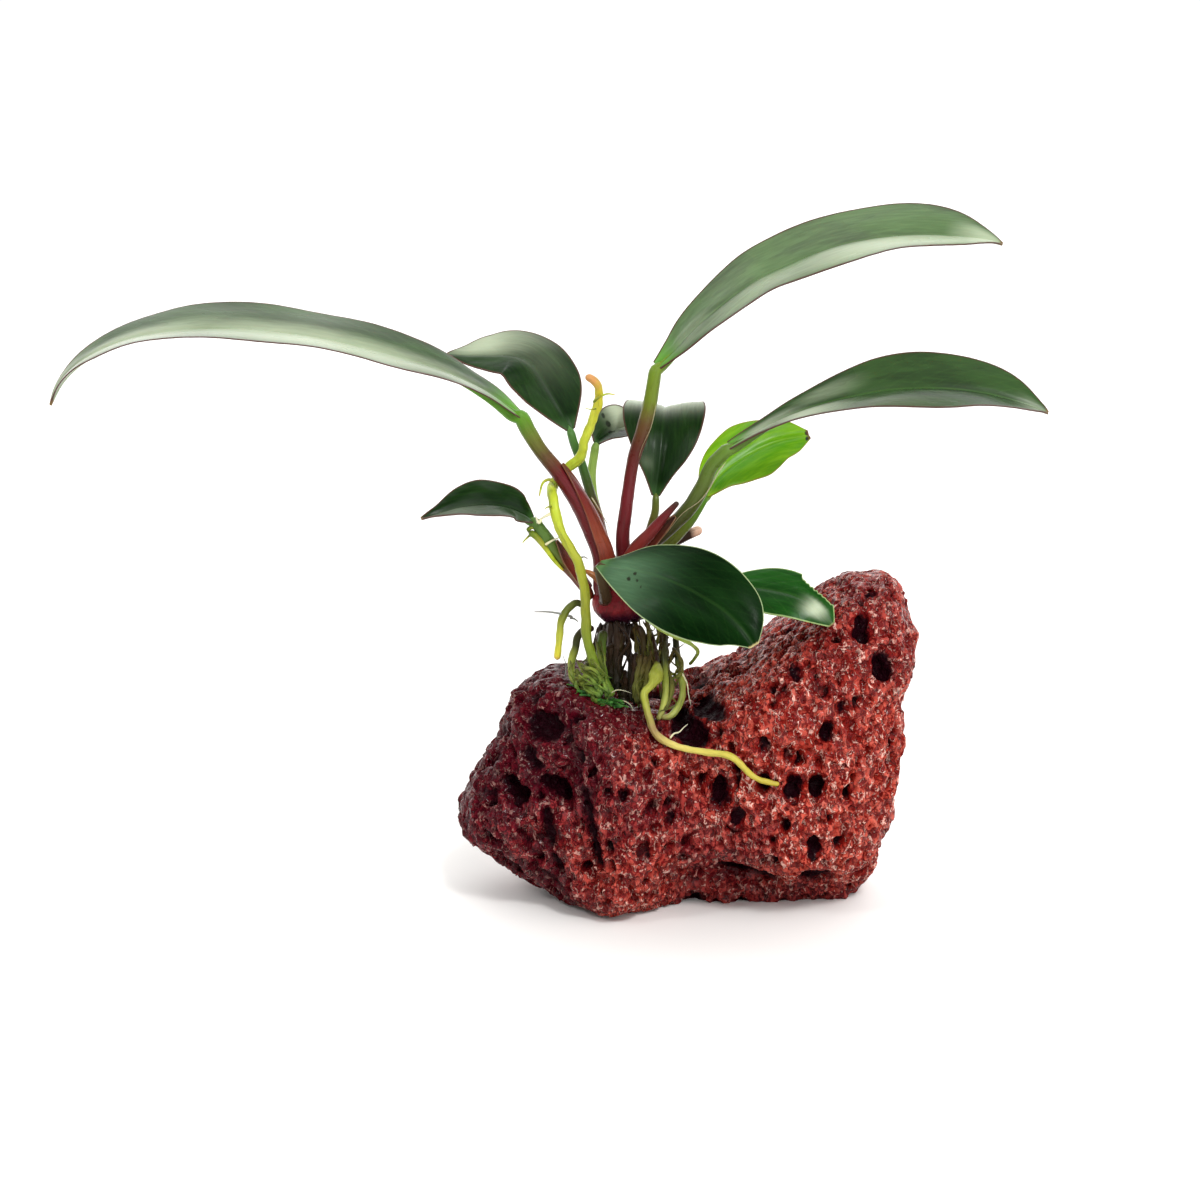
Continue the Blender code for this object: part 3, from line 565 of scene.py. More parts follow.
class Workpiece:
    """A mesh that starts as a primitive, is shaped by its vertices and is finished with modifiers."""

    def __init__(self, name: str) -> None:
        """Takes the primitive that was just added."""
        self.object = bpy.context.active_object
        self.object.name = name
        self.object.data.name = name

    @classmethod
    def grid(cls, name: str, along: int, across: int) -> "Workpiece":
        """A sheet of cells, on which X goes from -1 to 1 along it and Y across it.

        Args:
            name: The piece's name.
            along: How many cells lie along it.
            across: How many cells lie across it.

        Returns:
            The piece.
        """
        bpy.ops.object.select_all(action="DESELECT")
        bpy.ops.mesh.primitive_grid_add(x_subdivisions=along, y_subdivisions=across, size=2)
        return cls(name)

    @classmethod
    def ball(cls, name: str, cuts: Sequence[int]) -> "Workpiece":
        """A cube with its faces divided.

        Args:
            name: The piece's name.
            cuts: How many cuts divide each edge, time after time.

        Returns:
            The piece.
        """
        bpy.ops.object.select_all(action="DESELECT")
        bpy.ops.mesh.primitive_cube_add(size=2)
        piece = cls(name)
        piece.edit_all()
        for number in cuts:
            bpy.ops.mesh.subdivide(number_cuts=number)
        bpy.ops.object.mode_set(mode="OBJECT")
        return piece

    def read(self, kind: str = "co") -> Array:
        """The vertices' places in the mesh's own units, or another vector that they have.

        Args:
            kind: The vector's name in Blender.

        Returns:
            One vector to a row.
        """
        flat = np.zeros(len(self.object.data.vertices) * 3)
        self.object.data.vertices.foreach_get(kind, flat)
        return flat.reshape(-1, 3)

    def shape(self, places: Array) -> None:
        """Moves the vertices to these places, in millimetres."""
        self.object.data.vertices.foreach_set("co", (places * MM).ravel())
        self.object.data.update()

    def normals(self) -> Array:
        """The way outwards at each vertex."""
        return self.read("normal")

    def refine(self, chosen: Array) -> None:
        """Divides the faces between some of the vertices.

        Args:
            chosen: Whether each vertex is one of them.
        """
        self.activate()
        bpy.ops.object.mode_set(mode="EDIT")
        bpy.ops.mesh.select_mode(type="VERT")
        bpy.ops.mesh.select_all(action="DESELECT")
        bpy.ops.object.mode_set(mode="OBJECT")
        self.object.data.vertices.foreach_set("select", chosen)
        bpy.ops.object.mode_set(mode="EDIT")
        bpy.ops.mesh.subdivide(number_cuts=1)
        bpy.ops.object.mode_set(mode="OBJECT")

    def hold(self, name: str, values: Array) -> None:
        """Stores a number or a vector at each vertex, for the materials.

        Args:
            name: The name that the materials read it by.
            values: One number or vector for each vertex.
        """
        kind = "FLOAT" if values.ndim == 1 else "FLOAT_VECTOR"
        layer = self.object.data.attributes.new(name, kind, "POINT")
        layer.data.foreach_set("value" if kind == "FLOAT" else "vector", values.astype(np.float32).ravel())

    def weld(self) -> None:
        """Merges vertices that meet and turns the faces outwards."""
        self.edit_all()
        bpy.ops.mesh.remove_doubles(threshold=MERGE_DISTANCE)
        bpy.ops.mesh.normals_make_consistent(inside=False)
        bpy.ops.object.mode_set(mode="OBJECT")

    def turn_faces(self) -> None:
        """Turns every face over."""
        self.edit_all()
        bpy.ops.mesh.flip_normals()
        bpy.ops.object.mode_set(mode="OBJECT")

    def edit_all(self) -> None:
        """Goes into edit mode on this piece, with all of it selected."""
        self.activate()
        bpy.ops.object.mode_set(mode="EDIT")
        bpy.ops.mesh.select_all(action="SELECT")

    def activate(self) -> None:
        """Selects this piece alone."""
        bpy.ops.object.select_all(action="DESELECT")
        self.object.select_set(True)
        bpy.context.view_layer.objects.active = self.object

    def apply(self, kind: str, **settings: object) -> None:
        """Adds a modifier and applies it.

        Args:
            kind: The modifier's type.
            settings: Its properties.
        """
        self.activate()
        modifier = self.object.modifiers.new(kind.lower(), kind)
        for name, value in settings.items():
            setattr(modifier, name, value)
        bpy.ops.object.modifier_apply(modifier=modifier.name)

    def smooth(self, degrees: float = 180.0) -> None:
        """Shades the piece smooth, apart from edges sharper than an angle."""
        self.activate()
        bpy.ops.object.shade_smooth_by_angle(angle=math.radians(degrees))

    def dress(self, materials: Sequence[bpy.types.Material], slot: str, *nodes: str) -> None:
        """Gives the piece its materials and its place in the frame.

        Args:
            materials: Its materials, in the order of its slots.
            slot: Not used.
            nodes: The solids that it stands for.
        """
        self.object.data.materials.clear()
        for material in materials:
            self.object.data.materials.append(material)
        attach(self.object, BODY)
        if nodes:
            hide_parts(*nodes)
        log.info("%s: %d faces", self.object.name, len(self.object.data.polygons))


# How many rows of faces close each end of a stem, and the fewest between them.
CAP_ROWS = 4
LEAST_ROWS = 6
NORMAL_START = (0.0, -1.0, 0.3)
# The knobs on a stem: their sizes, how strong the wide ones are, and where their noise is read.
KNOB_SIZES = (1.3, 2.6)
WIDE_KNOBS = 0.6
KNOB_DEPTH = 0.8
SEED_STEPS = (17.3, 31.7, 7.7)


def carried_frames(line: Array) -> tuple[Array, Array, Array]:
    """Directions along a line and two across it, carried along without a twist.

    Args:
        line: The points of the line.

    Returns:
        The direction along the line, and two directions across it, at each point.
    """
    tangents = unit(np.gradient(line, axis=0))
    first = np.array(NORMAL_START)
    firsts = []
    for tangent in tangents:
        first = first - tangent * (first @ tangent)
        first = first / np.linalg.norm(first)
        firsts.append(first)
    firsts = np.array(firsts)
    return tangents, firsts, np.cross(tangents, firsts)


def tube(name: str, line: Array, radii: Array, sides: int, spacing: float, knobs: float,
         seed: int) -> Workpiece:
    """A round stem with rounded ends.

    Args:
        name: The piece's name.
        line: The points of its middle line, in millimetres.
        radii: Its radii, spread evenly along the line.
        sides: How many faces go round it.
        spacing: How long each face is, in millimetres.
        knobs: How much its radius swells and shrinks, as a share.
        seed: Where its noise starts.

    Returns:
        The piece, welded and smooth.
    """
    reach = length_along(line)
    length = reach[-1]
    rows = max(int(length / spacing), LEAST_ROWS) + 2 * CAP_ROWS
    turn = np.linspace(0, math.pi / 2, CAP_ROWS + 1)
    first_cap = radii[0] * (1 - np.cos(turn)) / length
    last_cap = 1 - radii[-1] * (1 - np.cos(turn[::-1])) / length
    middle = np.linspace(first_cap[-1], last_cap[0], rows - 2 * CAP_ROWS + 1)[1:-1]
    stations = np.concatenate([first_cap, middle, last_cap])
    scales = np.concatenate([np.sin(turn), np.ones(len(middle)), np.sin(turn[::-1])])

    piece = Workpiece.grid(name, len(stations) - 1, sides)
    flat = piece.read()
    row = (flat[:, 0] + 1) / 2 * (len(stations) - 1)
    share = np.interp(row, np.arange(len(stations)), stations)
    angle = (flat[:, 1] + 1) * math.pi
    tangents, firsts, seconds = carried_frames(line)
    shares = reach / length
    centre = at_share(line, shares, share)
    around = unit(
        at_share(firsts, shares, share) * np.cos(angle)[:, None]
        + at_share(seconds, shares, share) * np.sin(angle)[:, None]
    )
    radius = spread(radii, share) * np.interp(row, np.arange(len(stations)), scales)
    near, wide, grain = SEED_STEPS
    swell = noise_at(centre + around * radius[:, None] * KNOB_DEPTH + seed * near, KNOB_SIZES[0])
    swell = swell + WIDE_KNOBS * noise_at(centre + seed * wide, KNOB_SIZES[1])
    radius = radius * (1 + knobs * swell)
    piece.shape(centre + around * radius[:, None])
    piece.hold("along", share)
    piece.hold("edge", np.full(len(share), NO_EDGE))
    turned = np.column_stack([np.cos(angle) * radius, np.sin(angle) * radius, share * length])
    piece.hold("grain", turned + seed * grain)
    piece.weld()
    piece.smooth()
    return piece


# The stone


@dataclass(frozen=True)
class LavaStone:
    """The lump of lava stone: its form, its torn bubbles, and the fine ones between them."""

    centre: Point = (0.0, 0.0, 24.0)
    outline: tuple = (
        (38.4, 44.5), (37.2, 40), (35.5, 36), (35.8, 27), (33.8, 17), (32, 9), (30, 3), (27, -1), (19, -2.5),
        (10, -2.5), (0, -2.5), (-8, -2.5), (-15, -1.8), (-21, 0), (-27, 2.5), (-33, 6.5), (-37, 9.5),
        (-38.5, 13), (-38, 16), (-35.5, 21), (-32, 26), (-29.8, 30), (-28.5, 34), (-24, 37.4),
        (-19.5, 38), (-15.5, 36), (-10, 33.6), (-3, 33.8), (3, 36.6), (9, 39.8), (12, 43), (17, 46.2),
        (21.5, 50.2), (26, 53), (31.5, 52.8), (34.5, 50.4), (36, 47.6),
    )
    depths: Span = (19.0, 20.0)
    squareness: float = 0.74
    facing: Point = (1.0, 1.6, 1.0)
    lumps: tuple = (
        ((-12, -17, 7), (-11, -18, 20), 8.0, 4.5),
        ((-29, -8, 17), (-26, -6, 26), 8.0, 2.0),
        ((18, -19, 16), (22, -16, 34), 12.0, 4.0),
        ((29, -8, 50), (30, 6, 50), 6.0, 2.0),
        ((1, -20, 27), (3, -17, 8), 5.0, -2.0),
        ((0, -22, 1), (9, -20, 1), 6.5, -10.0),
        ((14, -22, 0), (29, -20, 0), 6.0, -6.0),
        ((2, -13, -1), (27, -12, -1), 6.0, -4.0),
        ((-21, -17, 24), (-16, -19, 8), 2.6, -3.0),
        ((-30, -14, 22), (-25, -17, 13), 2.6, -1.8),
        ((4, -14, 31), (9, -13, 33), 3.0, -3.0),
        ((-9, -2, 34), (0, -2, 34), 6.0, -1.5),
        ((33, -10, 33), (34, 8, 28), 4.0, -2.0),
        ((-16, 18, 12), (-10, 19, 24), 9.0, 4.0),
        ((14, 18, 10), (20, 17, 26), 10.0, 3.5),
        ((-2, 21, 26), (0, 19, 6), 5.0, -4.0),
        ((22, 12, 44), (30, 10, 42), 7.0, 2.5),
    )
    broad_waves: Span = (13.0, 1.5)
    small_waves: Span = (3.1, 0.5)
    pit_seed: int = 11
    pit_count: int = 150
    pit_radii: Span = (1.1, 2.3)
    pit_shrinks: Span = (0.6, 1.0)
    pit_stretches: Span = (1.0, 2.0)
    pit_reach: float = 1.25
    pit_depth: float = 1.4
    pit_steepness: float = 0.7
    pit_same_side: float = 0.3
    pit_front: float = -0.45
    pit_cells: int = 7
    # The caves that show best from the front: start and end on the face, half width and depth.
    caves: tuple = (
        ((29.5, 55.2), (29.5, 54.0), 1.1, 2.5), ((27.6, 49.4), (27.4, 47.6), 1.3, 3.0),
        ((30.8, 43.0), (31.2, 41.6), 1.8, 3.0), ((21.5, 33.7), (21.5, 32.3), 1.0, 3.0),
        ((11.4, 31.7), (11.2, 30.3), 0.9, 2.2), ((20.2, 24.4), (20.0, 23.2), 1.1, 3.4),
        ((16.6, 24.6), (16.2, 23.0), 1.5, 2.6), ((4.6, 23.2), (4.4, 21.4), 1.6, 2.6),
        ((19.7, 14.6), (20.2, 13.0), 1.0, 3.2), ((19.5, 6.5), (22.0, 6.0), 1.8, 2.4),
        ((-24.8, 38.8), (-22.4, 38.9), 1.2, 2.2), ((-25.6, 32.2), (-23.4, 32.0), 2.0, 3.0),
        ((-29.8, 22.2), (-28.2, 20.8), 1.5, 3.6), ((-23.8, 23.6), (-20.4, 21.4), 1.1, 3.8),
        ((-34.4, 20.2), (-32.6, 20.4), 0.9, 1.8), ((-13.9, 23.5), (-13.9, 22.8), 0.8, 2.0),
        ((-11.3, 23.1), (-11.2, 22.5), 0.8, 2.6), ((2.0, 35.4), (4.0, 35.2), 1.6, 3.0),
        ((-1.4, 32.6), (0.6, 31.4), 2.2, 3.6), ((-17.5, 22.7), (-15.2, 10.5), 0.75, 2.6),
        ((-27.5, 27.6), (-25.4, 25.8), 1.0, 2.4), ((-8.6, 14.6), (-7.2, 12.0), 0.7, 1.6),
        ((-23.7, 18.8), (-23.3, 13.1), 1.0, 2.2), ((-22.8, 10.6), (-21.5, 8.1), 0.9, 1.8),
        ((-31.9, 9.0), (-29.1, 6.8), 1.1, 2.2), ((-28.0, 15.0), (-25.9, 10.6), 0.8, 1.8),
        ((-19.4, 30.0), (-18.1, 27.6), 0.7, 1.8), ((-27.0, 25.2), (-25.6, 22.5), 0.6, 1.6),
        ((-16.8, 27.6), (-15.5, 24.4), 0.6, 1.6), ((-3.6, 18.8), (-3.4, 18.0), 0.9, 2.2),
        ((7.1, 18.7), (7.1, 17.6), 1.0, 2.4), ((-1.7, 11.4), (-1.4, 10.9), 0.8, 1.8),
        ((14.9, 29.6), (14.9, 29.0), 0.9, 2.2), ((5.6, 7.6), (13.7, 5.5), 1.3, 2.4),
        ((28.1, 5.8), (29.1, 6.3), 0.9, 1.8), ((16.2, 42.6), (16.4, 41.7), 1.0, 2.4),
        ((19.7, 41.8), (19.6, 39.8), 0.8, 2.0), ((23.9, 37.0), (24.0, 36.2), 0.9, 2.4),
    )
    cave_front: float = -0.35
    cave_ragged: Span = (1.1, 0.5)
    cave_reach: float = 1.2
    cave_steepness: float = 0.6
    # The even cells that carry the fine forms, and where they are halved: on faces that look to the front or
    # up, as far back as the last value.
    cell_size: float = 0.65
    fine_facing: Span = (-0.34, 0.62)
    fine_reach: float = 2.0
    # The fine bubbles: how far apart, how wide and deep, and how bent their rims are. Cavities are wider.
    bubble_spacing: float = 1.5
    bubble_radii: Span = (0.38, 0.75)
    bubble_depths: Span = (0.3, 0.95)
    bubble_taller: float = 1.4
    cavity_spacing: float = 6.5
    cavity_radii: Span = (0.75, 1.3)
    cavity_depths: Span = (0.9, 1.8)
    bend: Span = (1.7, 0.3)
    # The slanting folds on the left: their direction, width, length and depth, how sharply they start, and
    # where they fade out.
    slant: Point = (0.5, 0.0, -0.87)
    fold_size: Span = (2.0, 7.5)
    fold_depth: float = 1.35
    fold_start: Span = (2.4, 0.35)
    fold_fade: Span = (-22.0, -4.0)
    grit: float = 0.13
    grit_size: float = 0.7
    # How shallow cavities and bubbles get in a cave: how fast, and the least share.
    cavity_in_cave: Span = (0.5, 0.3)
    bubble_in_cave: Span = (0.4, 0.4)
    # The depths at which a cave, a cavity and a bubble look darkest, in the painted shade of the hollows.
    dark_depths: Point = (2.0, 1.9, 2.0)
    cuts: tuple[int, int] = (15, 7)
    bias: Point = (0.0, -0.24, 0.2)
    finish: StoneFinish = StoneFinish()

    def outline_radius(self, angle: Array) -> Array:
        """How far the outline is from the centre.

        Args:
            angle: Angles in the front view.

        Returns:
            The distance at each angle, in millimetres.
        """
        corners = np.array(self.outline) - (self.centre[0], self.centre[2])
        angles = np.arctan2(corners[:, 1], corners[:, 0])
        order = np.argsort(angles)
        return np.interp(angle, angles[order], np.hypot(*corners[order].T), period=2 * math.pi)

    def form(self, directions: Array) -> tuple[Array, Array]:
        """The stone's large form.

        Args:
            directions: Unit vectors from its centre.

        Returns:
            The points of the surface in millimetres, and the way outwards at each.
        """
        x, y, z = directions.T
        round_part = np.hypot(x, z)
        reach = self.outline_radius(np.arctan2(z, x)) * round_part**self.squareness
        reach = reach / np.maximum(round_part, 1e-9)
        depth = np.where(y < 0, *self.depths)
        deep = np.sign(y) * np.abs(y) ** self.squareness * depth
        points = np.column_stack([x * reach, deep, z * reach]) + self.centre
        outward = unit(directions * self.facing)
        for start, end, radius, height in self.lumps:
            swell = height * np.exp(-((distance_to_run(points, start, end) / radius) ** 2))
            points = points + outward * swell[:, None]
        (broad_size, broad_height), (small_size, small_height) = self.broad_waves, self.small_waves
        rough = []
        for p in points:
            broad = broad_height * noise.fractal(Vector(p) / broad_size, 1.0, 2.0, 3)
            rough.append(broad + small_height * noise.noise(Vector(p) / small_size))
        return points + outward * np.array(rough)[:, None], outward

    def large_pits(self, points: Array, outward: Array) -> Array:
        """The larger torn bubbles, which stand where the solid has them.

        Args:
            points: The surface's points.
            outward: The way outwards at each.

        Returns:
            How deep each point is in one.
        """
        ball = bmesh.new()
        bmesh.ops.create_icosphere(ball, subdivisions=self.pit_cells, radius=1.0)
        centres, facings = self.form(np.array([v.co.normalized()[:] for v in ball.verts]))
        ball.free()
        chance = random.Random(self.pit_seed)
        depth = np.zeros(len(points))
        for _ in range(self.pit_count):
            middle = chance.randrange(len(centres))
            radius = chance.uniform(*self.pit_radii) * chance.uniform(*self.pit_shrinks)
            stretch = chance.uniform(*self.pit_stretches)
            gap = points - centres[middle]
            gap[:, 2] /= stretch
            away = np.linalg.norm(gap, axis=1) / radius
            if facings[middle][1] < self.pit_front:
                continue
            same_side = outward @ facings[middle] > self.pit_same_side
            bowl = np.where(same_side, np.clip(self.pit_reach - away, 0, 1), 0)
            depth = np.maximum(depth, self.pit_depth * radius * bowl**self.pit_steepness)
        return depth

    def front_caves(self, points: Array, outward: Array) -> Array:
        """The caves on the front.

        Args:
            points: The surface's points.
            outward: The way outwards at each.

        Returns:
            How deep each point is in one.
        """
        depth = np.zeros(len(points))
        rag_size, rag_share = self.cave_ragged
        ragged = 1 + rag_share * noise_at(points, rag_size)
        for (x1, z1), (x2, z2), radius, deep in self.caves:
            flat = points * (1, 0, 1)
            away = distance_to_run(flat, (x1, 0, z1), (x2, 0, z2)) * ragged
            in_front = outward[:, 1] < self.cave_front
            bowl = np.where(in_front, np.clip(self.cave_reach - away / radius, 0, 1), 0)
            depth = np.maximum(depth, deep * bowl**self.cave_steepness)
        return depth

    def bubbles(self, points: Array) -> tuple[Array, Array]:
        """The fine bubbles and the wider cavities between them.

        Args:
            points: The surface's points.

        Returns:
            How deep each point is in a bubble, and in a cavity.
        """
        noise.seed_set(self.pit_seed)
        bend_size, bend_height = self.bend
        bent = points + np.array([noise.noise_vector(Vector(p) / bend_size) for p in points]) * bend_height
        chance = np.random.default_rng(self.pit_seed)
        centres = scattered(points, self.bubble_spacing, chance)
        radii = chance.uniform(*self.bubble_radii, len(centres))
        depths = chance.uniform(*self.bubble_depths, len(centres))
        fine = bowls(bent, centres, radii, depths, self.bubble_taller, 4)
        centres = scattered(points, self.cavity_spacing, chance)
        radii = chance.uniform(*self.cavity_radii, len(centres))
        depths = chance.uniform(*self.cavity_depths, len(centres))
        return fine, bowls(bent, centres, radii, depths, self.bubble_taller, 2)

    def folds(self, points: Array) -> Array:
        """The slanting folds.

        Args:
            points: The surface's points.

        Returns:
            How deep each point is in one.
        """
        slant = np.array(self.slant)
        reach = points @ slant
        width, length = self.fold_size
        stretched = (points - np.outer(reach, slant)) / width + np.outer(reach, slant) / length
        start, end = self.fold_fade
        share = np.clip((end - points[:, 0]) / (end - start), 0, 1)
        steepness, level = self.fold_start
        return self.fold_depth * share * np.clip(noise_at(stretched, 1.0) * steepness - level, 0, 1)

    def build(self) -> Workpiece:
        """Models the stone: its form and caves first, then even cells that carry the bubbles.

        Returns:
            The piece, dressed.
        """
        piece = Workpiece.ball("stone_body", self.cuts)
        even = np.tan(piece.read() * (math.pi / 4))
        points, outward = self.form(unit(unit(even) + self.bias))
        caves = np.maximum(self.large_pits(points, outward), self.front_caves(points, outward))
        caves = np.maximum(caves, self.folds(points))
        sunk = points - outward * caves[:, None]
        piece.shape(sunk)
        piece.apply("REMESH", mode="VOXEL", voxel_size=self.cell_size * MM)
        _, back, up = piece.normals().T
        low, high = self.fine_facing
        in_front = piece.read()[:, 1] < self.fine_reach * MM
        piece.refine(in_front & ((back < low) | (up > high)))
        points = piece.read() / MM
        caves = carried_over(sunk, caves, points)
        fine, cavities = self.bubbles(points)
        grit = self.grit * noise_at(points, self.grit_size)
        cavity_fade, cavity_least = self.cavity_in_cave
        bubble_fade, bubble_least = self.bubble_in_cave
        sunk = cavities * np.clip(1 - cavity_fade * caves, cavity_least, 1)
        sunk = sunk + fine * np.clip(1 - bubble_fade * caves, bubble_least, 1) + grit
        shaped = points - piece.normals() * sunk[:, None]
        shaped[:, 2] = np.maximum(shaped[:, 2], 0.0)
        piece.shape(shaped)
        # How deep each point lies in the caves, cavities and bubbles, which the material darkens as painted
        # shade.
        hollows = np.column_stack([caves, cavities, fine]) / self.dark_depths
        piece.hold("hollow", np.clip(hollows.max(axis=1), 0, 1))
        piece.smooth()
        piece.dress([self.finish.material()], "lava_stone", "lava_stone")
        return piece


def scattered(points: Array, spacing: float, chance: np.random.Generator) -> Array:
    """Some of the points, one from each cube of space.

    Args:
        points: The points.
        spacing: How wide each cube is.
        chance: What chooses among the points of a cube.

    Returns:
        The chosen points.
    """
    mixed = points[chance.permutation(len(points))]
    _, first = np.unique(np.floor(mixed / spacing).astype(int), axis=0, return_index=True)
    return mixed[first]


def carried_over(old: Array, values: Array, new: Array) -> Array:
    """Values of the old points, read at the new ones from the nearest old point."""
    tree = tree_of(old)
    return values[[tree.find(place)[1] for place in new]]


def tree_of(points: Array) -> KDTree:
    """The points, ready to be searched for the nearest ones.

    Args:
        points: The points.

    Returns:
        The tree, in which a point's index is its row.
    """
    tree = KDTree(len(points))
    for index, place in enumerate(points):
        tree.insert(place, index)
    tree.balance()
    return tree


BOWL_REACH = 1.1
BOWL_WALL = 1.7
BOWL_ROUNDNESS = 0.8


def bowls(points: Array, centres: Array, radii: Array, depths: Array, taller: float,
          nearby: int) -> Array:
    """The depth of many bowls, each with a steep wall and a wide floor.

    Args:
        points: Where the depth is wanted.
        centres: The middle of each bowl.
        radii: Each bowl's radius.
        depths: Each bowl's depth.
        taller: How much taller than wide a bowl is.
        nearby: How many of the nearest bowls are looked at from each point.

    Returns:
        The depth of the deepest bowl at each point.
    """
    tree = tree_of(centres)
    found = np.array([[index for _, index, _ in tree.find_n(p, nearby)] for p in points])
    depth = np.zeros(len(points))
    for index in found.T:
        gap = (points - centres[index]) / (1, 1, taller)
        away = np.linalg.norm(gap, axis=1) / radii[index]
        bowl = np.clip((BOWL_REACH - away) * BOWL_WALL, 0, 1) ** BOWL_ROUNDNESS
        depth = np.maximum(depth, depths[index] * bowl)
    return depth


def distance_to_run(points: Array, start: Sequence[float], end: Sequence[float]) -> Array:
    """How far points are from a straight run between two places.

    Args:
        points: The points.
        start: Where the run starts.
        end: Where it ends.

    Returns:
        The distance of each point.
    """
    first = np.array(start, float)
    run = np.array(end, float) - first
    share = np.clip((points - first) @ run / (run @ run), 0, 1)
    return np.linalg.norm(points - first - share[:, None] * run, axis=1)


# The blades

SMOOTH_STEPS = 121


@dataclass(frozen=True)
class Leaf:
    """One blade: its midrib, its half widths from base to tip, the way its upper face looks, its skin.

    A bite is where it starts and ends, the share of the width that it leaves, and its side. A blemish is
    its place along and across the blade and its radius. A painted sheen, a pale patch that stands for
    reflected light, is its place, how far it reaches each way, and its strength.
    """

    name: str
    midrib: tuple
    widths: tuple
    face_base: Point
    face_tip: Point
    finish: LeafFinish
    fold: float = 0.0
    cup: float = 0.0
    bite: tuple = ()
    wave: float = 0.25
    blemishes: tuple = ()
    painted_sheens: tuple = ()
    slot: str = "leaf_green"

    def frames(self) -> tuple[Array, Array, Array]:
        """The midrib, with the directions across it.

        Returns:
            The midrib's points, and the ways to one side and up from the upper face, at even steps.
        """
        line = smooth_through(self.midrib, SMOOTH_STEPS)
        steps = np.linspace(0, 1, SMOOTH_STEPS)
        tangents = unit(np.gradient(line, axis=0))
        faces = np.outer(1 - steps, self.face_base) + np.outer(steps, self.face_tip)
        normals = unit(faces - np.sum(faces * tangents, axis=1)[:, None] * tangents)
        return line, np.cross(tangents, normals), normals

    def width(self, along: Array) -> Array:
        """Half the blade's width.

        Args:
            along: Shares of its length.

        Returns:
            Half the width at each.
        """
        percents = np.linspace(0, 100, len(self.widths))
        corners = [(percent, width, 0) for percent, width in zip(percents, self.widths)]
        profile = smooth_through(corners, SMOOTH_STEPS)
        return np.interp(along * 100, profile[:, 0], profile[:, 1])


DARK_LEAF = LeafFinish("leaf_dark")
FRESH_LEAF = LeafFinish("leaf_fresh", dark=(0.005, 0.03, 0.003), light=(0.038, 0.115, 0.016))
SHADY_LEAF = LeafFinish("leaf_shady", dark=(0.003, 0.014, 0.002), light=(0.013, 0.04, 0.006),
    base=(0.03, 0.08, 0.02), vein=(0.014, 0.04, 0.009), vein_strength=0.04, midrib_strength=0.3, gloss=0.1)
PALE_RIMMED = LeafFinish("leaf_pale_rim", dark=(0.001, 0.008, 0.001), light=(0.004, 0.022, 0.003),
    pale=(0.33, 0.62, 0.34), gloss=0.035, margin=(0.27, 0.35, 0.17), tip=(0.45, 0.36, 0.16),
    base=(0.06, 0.14, 0.04), margin_width=0.24, vein_strength=0.03, midrib_strength=0.1)
BRIGHT_LEAF = LeafFinish("leaf_bright", dark=(0.004, 0.034, 0.003), light=(0.012, 0.08, 0.007), gloss=0.08,
    margin=(0.26, 0.36, 0.14), base=(0.03, 0.13, 0.04), margin_width=0.3, midrib_strength=0.15)
LIME_LEAF = LeafFinish("leaf_lime", dark=(0.06, 0.22, 0.003), light=(0.18, 0.38, 0.006),
    vein=(0.25, 0.46, 0.03), margin=(0.2, 0.22, 0.02), base=(0.24, 0.45, 0.02), tip=(0.1, 0.035, 0.012),
    under=(0.26, 0.5, 0.02), tip_reach=0.03, margin_width=0.25, vein_strength=0.04, midrib_strength=0.2)

